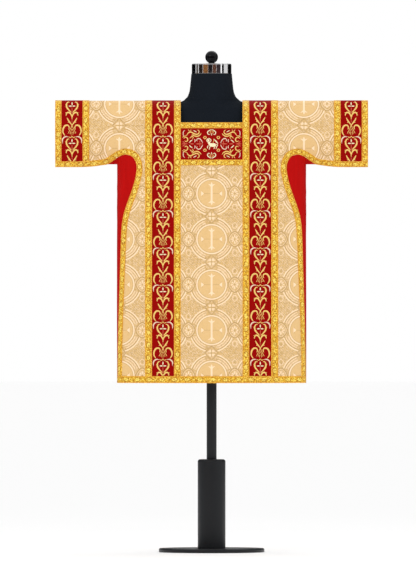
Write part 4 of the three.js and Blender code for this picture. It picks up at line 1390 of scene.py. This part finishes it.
def rounded(radius, height, bevel, steps=5):
    """Quarter round from a flat top into a straight side, as radius and height."""
    turn = np.linspace(0, math.pi / 2, steps)
    return [(radius - bevel + bevel * math.sin(t), height - bevel + bevel * math.cos(t)) for t in turn]


def bottom_rounded(radius, height, bevel):
    """Quarter round from a straight side into a flat bottom."""
    return [(r, 2 * height - z) for r, z in reversed(rounded(radius, height, bevel))]


SEAM_END, SEAM_RADIUS, SEAM_SIDES = 4 * MM, 0.9 * MM, 8


def form_body():
    """The jersey cover with its seams at the sides and the back."""
    piece = closed_tube("form_jersey_body", form_surface(ROUND), finish_of("form_jersey"))
    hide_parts("form_torso")
    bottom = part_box("form_torso")[0][2]
    for title, angle in (("left", 0.0), ("right", math.pi), ("back", math.pi / 2)):
        line = form_surface(np.array([angle]))[:, 0]
        line = line[line[:, 2] > bottom + SEAM_END]
        seam = seam_cord(f"form_seam_{title}", line, SEAM_RADIUS)


def seam_cord(name, line, radius):
    """A thin raised seam along a line of places."""
    along = unit(np.gradient(line, axis=0))
    slant = np.array((0.3, 0.2, 1.0))  # a direction that no seam takes
    side = unit(np.cross(along, slant))
    rise = np.cross(side, along)
    turn = np.linspace(0, 2 * math.pi, SEAM_SIDES, endpoint=False)
    rings = (line[:, None] + radius * (side[:, None] * np.cos(turn)[None, :, None]
                                       + rise[:, None] * np.sin(turn)[None, :, None]))
    return closed_tube(name, rings, finish_of("form_jersey"), sharp=80)


def form_head():
    """The chrome band round the neck, its domed cap and the ball on top."""
    low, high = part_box("form_neck_ring")
    radius, squash = high[0], high[1] / high[0]
    lip, edge, flat = 6.0 * MM, 1.0 * MM, 1.6 * MM
    profile = [(radius - lip, high[2]), *rounded(radius, high[2], edge), (radius, high[2] - flat),
               (radius, low[2] + flat), *bottom_rounded(radius, low[2], edge)]
    turned("neck_band", profile, "form_neck_ring", "chrome", squash)

    low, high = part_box("form_neck_cap")
    radius, squash = high[0], high[1] / high[0]
    brim, chamfer_rise, chamfer = 1.5 * MM, 0.4 * MM, 0.8 * MM
    dome = [(radius * math.sin(t), low[2] + brim + (high[2] - low[2] - brim) * math.cos(t))
            for t in np.linspace(0.04, math.pi / 2, 14)]
    profile = [*dome, (radius, low[2] + chamfer_rise), (radius - chamfer, low[2])]
    turned("neck_cap", profile, "form_neck_cap", "chrome", squash)

    low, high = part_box("form_finial")
    radius, stem, collar = high[0], 9.0 * MM, 10.6 * MM
    centre = high[2] - radius
    end = math.pi - math.asin(stem / radius)
    turns = np.linspace(0.02, end, 30)
    ball = [(max(0.3 * MM, radius * math.sin(t)), centre + radius * math.cos(t)) for t in turns]
    profile = [*ball, (stem, low[2] + 1.2 * MM), (collar, low[2] + 0.6 * MM), (collar, low[2])]
    turned("finial_ball", profile, "form_finial", "black_gloss")


# Pieces of the stand: name, node, and the bevel round its top.
STAND = (("base_plate", "stand_base", 5 * MM), ("column_tube", "stand_column", 9 * MM),
         ("pole_tube", "stand_pole", 1 * MM))
FOOT_BEVEL = 1.5 * MM


def stand():
    """The pole, the column and the base plate."""
    for title, node, bevel in STAND:
        low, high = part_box(node)
        radius, foot = high[0], min(bevel, FOOT_BEVEL)
        profile = [*rounded(radius, high[2], bevel, 8), *bottom_rounded(radius, low[2], foot)]
        turned(title, profile, node, "stand_black")


# ---------- stage ----------
LAMP_TARGET = (0, 0, 1.1)
LAMPS = [dict(zip(("name", "place", "size", "share"), row)) for row in (
    ("key", (-2.6, -4.2, 3.6), 2.6, 1.0),
    ("fill", (3.4, -3.8, 2.2), 3.0, 0.5),
    ("top", (0.4, 1.8, 4.2), 2.4, 0.5),
)]
CARD_DISTANCE, CARD_BOTTOM, CARD_TOP = 5.0, 0.4, 3.4
# Turn from straight in front of the object, half the turn that a card takes up, and its colour.
CARDS = [dict(zip(("middle", "half", "colour"), row)) for row in (
    (-140, 38, (12, 12, 14)), (-88, 7, (70, 58, 44)), (-62, 13, (46, 38, 34)), (-33, 14, (150, 100, 56)),
    (-7, 11, (40, 34, 36)), (15, 10, (110, 74, 60)), (38, 12, (54, 40, 44)), (64, 7, (26, 26, 28)),
    (140, 38, (12, 12, 14)),
)]
SENSOR = 36


def make_floor(size):
    """A pale floor all round the object."""
    half = size / 2
    finish = Finish("floor", Roughness=0.9, Base_Color=(0.97, 0.97, 0.97, 1)).material
    corners = [(-half, -half, 0), (half, -half, 0), (half, half, 0), (-half, half, 0)]
    new_object("floor", corners, [(0, 1, 2, 3)], [finish])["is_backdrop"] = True


def make_cards():
    """Dark cards outside the picture, for the chrome to reflect."""
    for number, card in enumerate(CARDS):
        start, end = (math.radians(card["middle"] + turn * card["half"]) for turn in (-1, 1))
        turns = (start, end, end, start)
        heights = (CARD_BOTTOM, CARD_BOTTOM, CARD_TOP, CARD_TOP)
        corners = [(CARD_DISTANCE * math.sin(turn), -CARD_DISTANCE * math.cos(turn), height)
                   for turn, height in zip(turns, heights)]
        finish = Finish(f"card_{number}", Roughness=0.9, Base_Color=(*srgb(*card["colour"]), 1),
                        Specular_IOR_Level=0.0).material
        piece = new_object(f"card_{number}", corners, [(0, 1, 2, 3)], [finish])
        piece.visible_camera = False
        piece.visible_diffuse = False
        piece.visible_shadow = False
        piece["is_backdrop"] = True


def make_lamps(scene, power):
    """Soft lamps and an even white surround."""
    world = bpy.data.worlds.new("studio")
    world.use_nodes = True
    background = world.node_tree.nodes["Background"].inputs
    background["Color"].default_value = (1, 1, 1, 1)
    background["Strength"].default_value = 1.0
    scene.world = world
    for row in LAMPS:
        lamp = bpy.data.lights.new(row["name"], "AREA")
        lamp.size = row["size"]
        lamp.energy = power * row["share"]
        light = bpy.data.objects.new(row["name"], lamp)
        light.location = row["place"]
        aim = Vector(LAMP_TARGET) - Vector(row["place"])
        light.rotation_euler = aim.to_track_quat("-Z", "Y").to_euler()
        scene.collection.objects.link(light)


def make_camera(scene, settings):
    """A camera straight in front of the object."""
    camera = bpy.data.cameras.new("camera")
    camera.lens = settings.lens
    camera.sensor_width = SENSOR
    camera.clip_end = 2 * settings.floor_size
    distance = settings.picture_height * settings.lens / SENSOR
    view = bpy.data.objects.new("camera", camera)
    view.location = (settings.middle_x, -distance, settings.middle_z)
    view.rotation_euler = (math.pi / 2, 0, 0)
    scene.collection.objects.link(view)
    scene.camera = view


# ---------- operators ----------
class TUNICLE_OT_panels(bpy.types.Operator):
    """Make the brocade front and back, each cut in one with its sleeves"""
    bl_idname = "tunicle.panels"
    bl_label = "Front and Back"
    bl_options = {"REGISTER", "UNDO"}

    def execute(self, context):
        for side in (FRONT, BACK):
            panel(side)
        return {"FINISHED"}


class TUNICLE_OT_gussets(bpy.types.Operator):
    """Make the red satin gussets at the underarms and sides"""
    bl_idname = "tunicle.gussets"
    bl_label = "Side Gussets"
    bl_options = {"REGISTER", "UNDO"}

    def execute(self, context):
        for half in (LEFT, RIGHT):
            gusset(half)
        return {"FINISHED"}


class TUNICLE_OT_bands(bpy.types.Operator):
    """Make the red grounds of the upright bands, the sleeve bands and the apparel"""
    bl_idname = "tunicle.bands"
    bl_label = "Red Bands"
    bl_options = {"REGISTER", "UNDO"}

    def execute(self, context):
        for half in (LEFT, RIGHT):
            name = HALF_NAMES[half]
            points = over_shoulder(CLAVUS["red"], CLAVUS["outer"], half, BAND_SHARES)
            band(f"clavus_ground_{name}", points, f"clavus_{name}")
            points = sleeve_strip(CUFF_BAND["red"], CUFF_BAND["outer"], half, BAND_SHARES)
            band(f"cuff_ground_{name}", points, f"cuff_band_{name}")
        band("apparel_ground", level_strip(NECK_HALF, *APPAREL, FRONT, APPAREL_SHARES), "apparel")
        return {"FINISHED"}


class TUNICLE_OT_braids(bpy.types.Operator):
    """Make the gold braids along the bands, the edges, the neck and the hem"""
    bl_idname = "tunicle.braids"
    bl_label = "Gold Braids"
    bl_options = {"REGISTER", "UNDO"}

    def execute(self, context):
        for node, points, from_shoulder in braid_strips():
            braid(node, points, from_shoulder)
        return {"FINISHED"}


class TUNICLE_OT_scrolls(bpy.types.Operator):
    """Embroider the scrolls on the upright bands and the sleeve bands"""
    bl_idname = "tunicle.scrolls"
    bl_label = "Scroll Embroidery"
    bl_options = {"REGISTER", "UNDO"}

    def execute(self, context):
        for half in (LEFT, RIGHT):
            name = HALF_NAMES[half]
            middle = (CLAVUS["red"] + CLAVUS["outer"]) / 2
            band_scroll(f"clavus_scroll_{name}", middle, half, LENGTH - HEM_BRAID)
            middle = (CUFF_BAND["red"] + CUFF_BAND["outer"]) / 2
            _, inner = edge_beyond(np.array([middle]))
            band_scroll(f"cuff_scroll_{name}", middle, half, float(inner[0, 1]))
        return {"FINISHED"}


class TUNICLE_OT_apparel(bpy.types.Operator):
    """Embroider the lamb and the scrolls of the apparel on the chest"""
    bl_idname = "tunicle.apparel"
    bl_label = "Apparel Embroidery"
    bl_options = {"REGISTER", "UNDO"}

    def execute(self, context):
        apparel_scroll()
        return {"FINISHED"}


class TUNICLE_OT_stitches(bpy.types.Operator):
    """Sew the rows of stitches along the edges of the braids"""
    bl_idname = "tunicle.stitches"
    bl_label = "Stitches"
    bl_options = {"REGISTER", "UNDO"}

    def execute(self, context):
        for side in (FRONT, BACK):
            halves = [points[points[:, 0, 1] * side >= 0] for _, points, _ in braid_strips()]
            stitch_rows(f"braid_stitches_{SIDE_NAMES[side]}", [points for points in halves if len(points)])
        return {"FINISHED"}


class TUNICLE_OT_form(bpy.types.Operator):
    """Make the dress form with its jersey cover, chrome neck band, cap and finial"""
    bl_idname = "tunicle.form"
    bl_label = "Dress Form"
    bl_options = {"REGISTER", "UNDO"}

    def execute(self, context):
        form_body()
        form_head()
        return {"FINISHED"}


class TUNICLE_OT_stand(bpy.types.Operator):
    """Make the stand's pole, column and base plate"""
    bl_idname = "tunicle.stand"
    bl_label = "Stand"
    bl_options = {"REGISTER", "UNDO"}

    def execute(self, context):
        stand()
        return {"FINISHED"}


class TUNICLE_OT_stage(bpy.types.Operator):
    """Set up the floor, the soft light and the camera"""
    bl_idname = "tunicle.stage"
    bl_label = "Stage"
    bl_options = {"REGISTER", "UNDO"}

    def execute(self, context):
        scene = context.scene
        settings = scene.tunicle_stage
        scene.view_settings.view_transform = "Standard"
        make_floor(settings.floor_size)
        make_cards()
        make_lamps(scene, settings.light_power)
        make_camera(scene, settings)
        return {"FINISHED"}


class TUNICLE_PT_panel(bpy.types.Panel):
    """Tunicle tools in the sidebar"""
    bl_label = "Tunicle"
    bl_space_type = "VIEW_3D"
    bl_region_type = "UI"
    bl_category = "Tunicle"

    def draw(self, context):
        for group in GROUPS:
            settings = getattr(context.scene, group)
            box = self.layout.box()
            for name in settings.bl_rna.properties.keys():
                if name not in ("rna_type", "name"):
                    box.prop(settings, name)
        for operator in OPERATORS:
            self.layout.operator(operator.bl_idname)


# Names of the settings on a scene, and the operators in the order in which they run.
GROUPS = {
    "tunicle_cloth": TUNICLE_PG_cloth,
    "tunicle_colours": TUNICLE_PG_colours,
    "tunicle_stage": TUNICLE_PG_stage,
}
OPERATORS = (
    TUNICLE_OT_panels,
    TUNICLE_OT_gussets,
    TUNICLE_OT_bands,
    TUNICLE_OT_braids,
    TUNICLE_OT_scrolls,
    TUNICLE_OT_apparel,
    TUNICLE_OT_stitches,
    TUNICLE_OT_form,
    TUNICLE_OT_stand,
    TUNICLE_OT_stage,
)


def register():
    for group in (*GROUPS.values(), *OPERATORS, TUNICLE_PT_panel):
        bpy.utils.register_class(group)
    for name, group in GROUPS.items():
        setattr(bpy.types.Scene, name, bpy.props.PointerProperty(type=group))


def unregister():
    for name in GROUPS:
        delattr(bpy.types.Scene, name)
    for group in (TUNICLE_PT_panel, *reversed(OPERATORS), *GROUPS.values()):
        bpy.utils.unregister_class(group)


def main():
    """Make every piece and the stage, and work out the sizes of the solids and of the dressed part."""
    register()
    for operator in OPERATORS:
        kind, name = operator.bl_idname.split(".")
        getattr(getattr(bpy.ops, kind), name)()
    as_lists = [[[float(v) for v in corner] for corner in box] for box in (CAD_BOUNDS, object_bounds())]


if __name__ == "__main__":
    main()
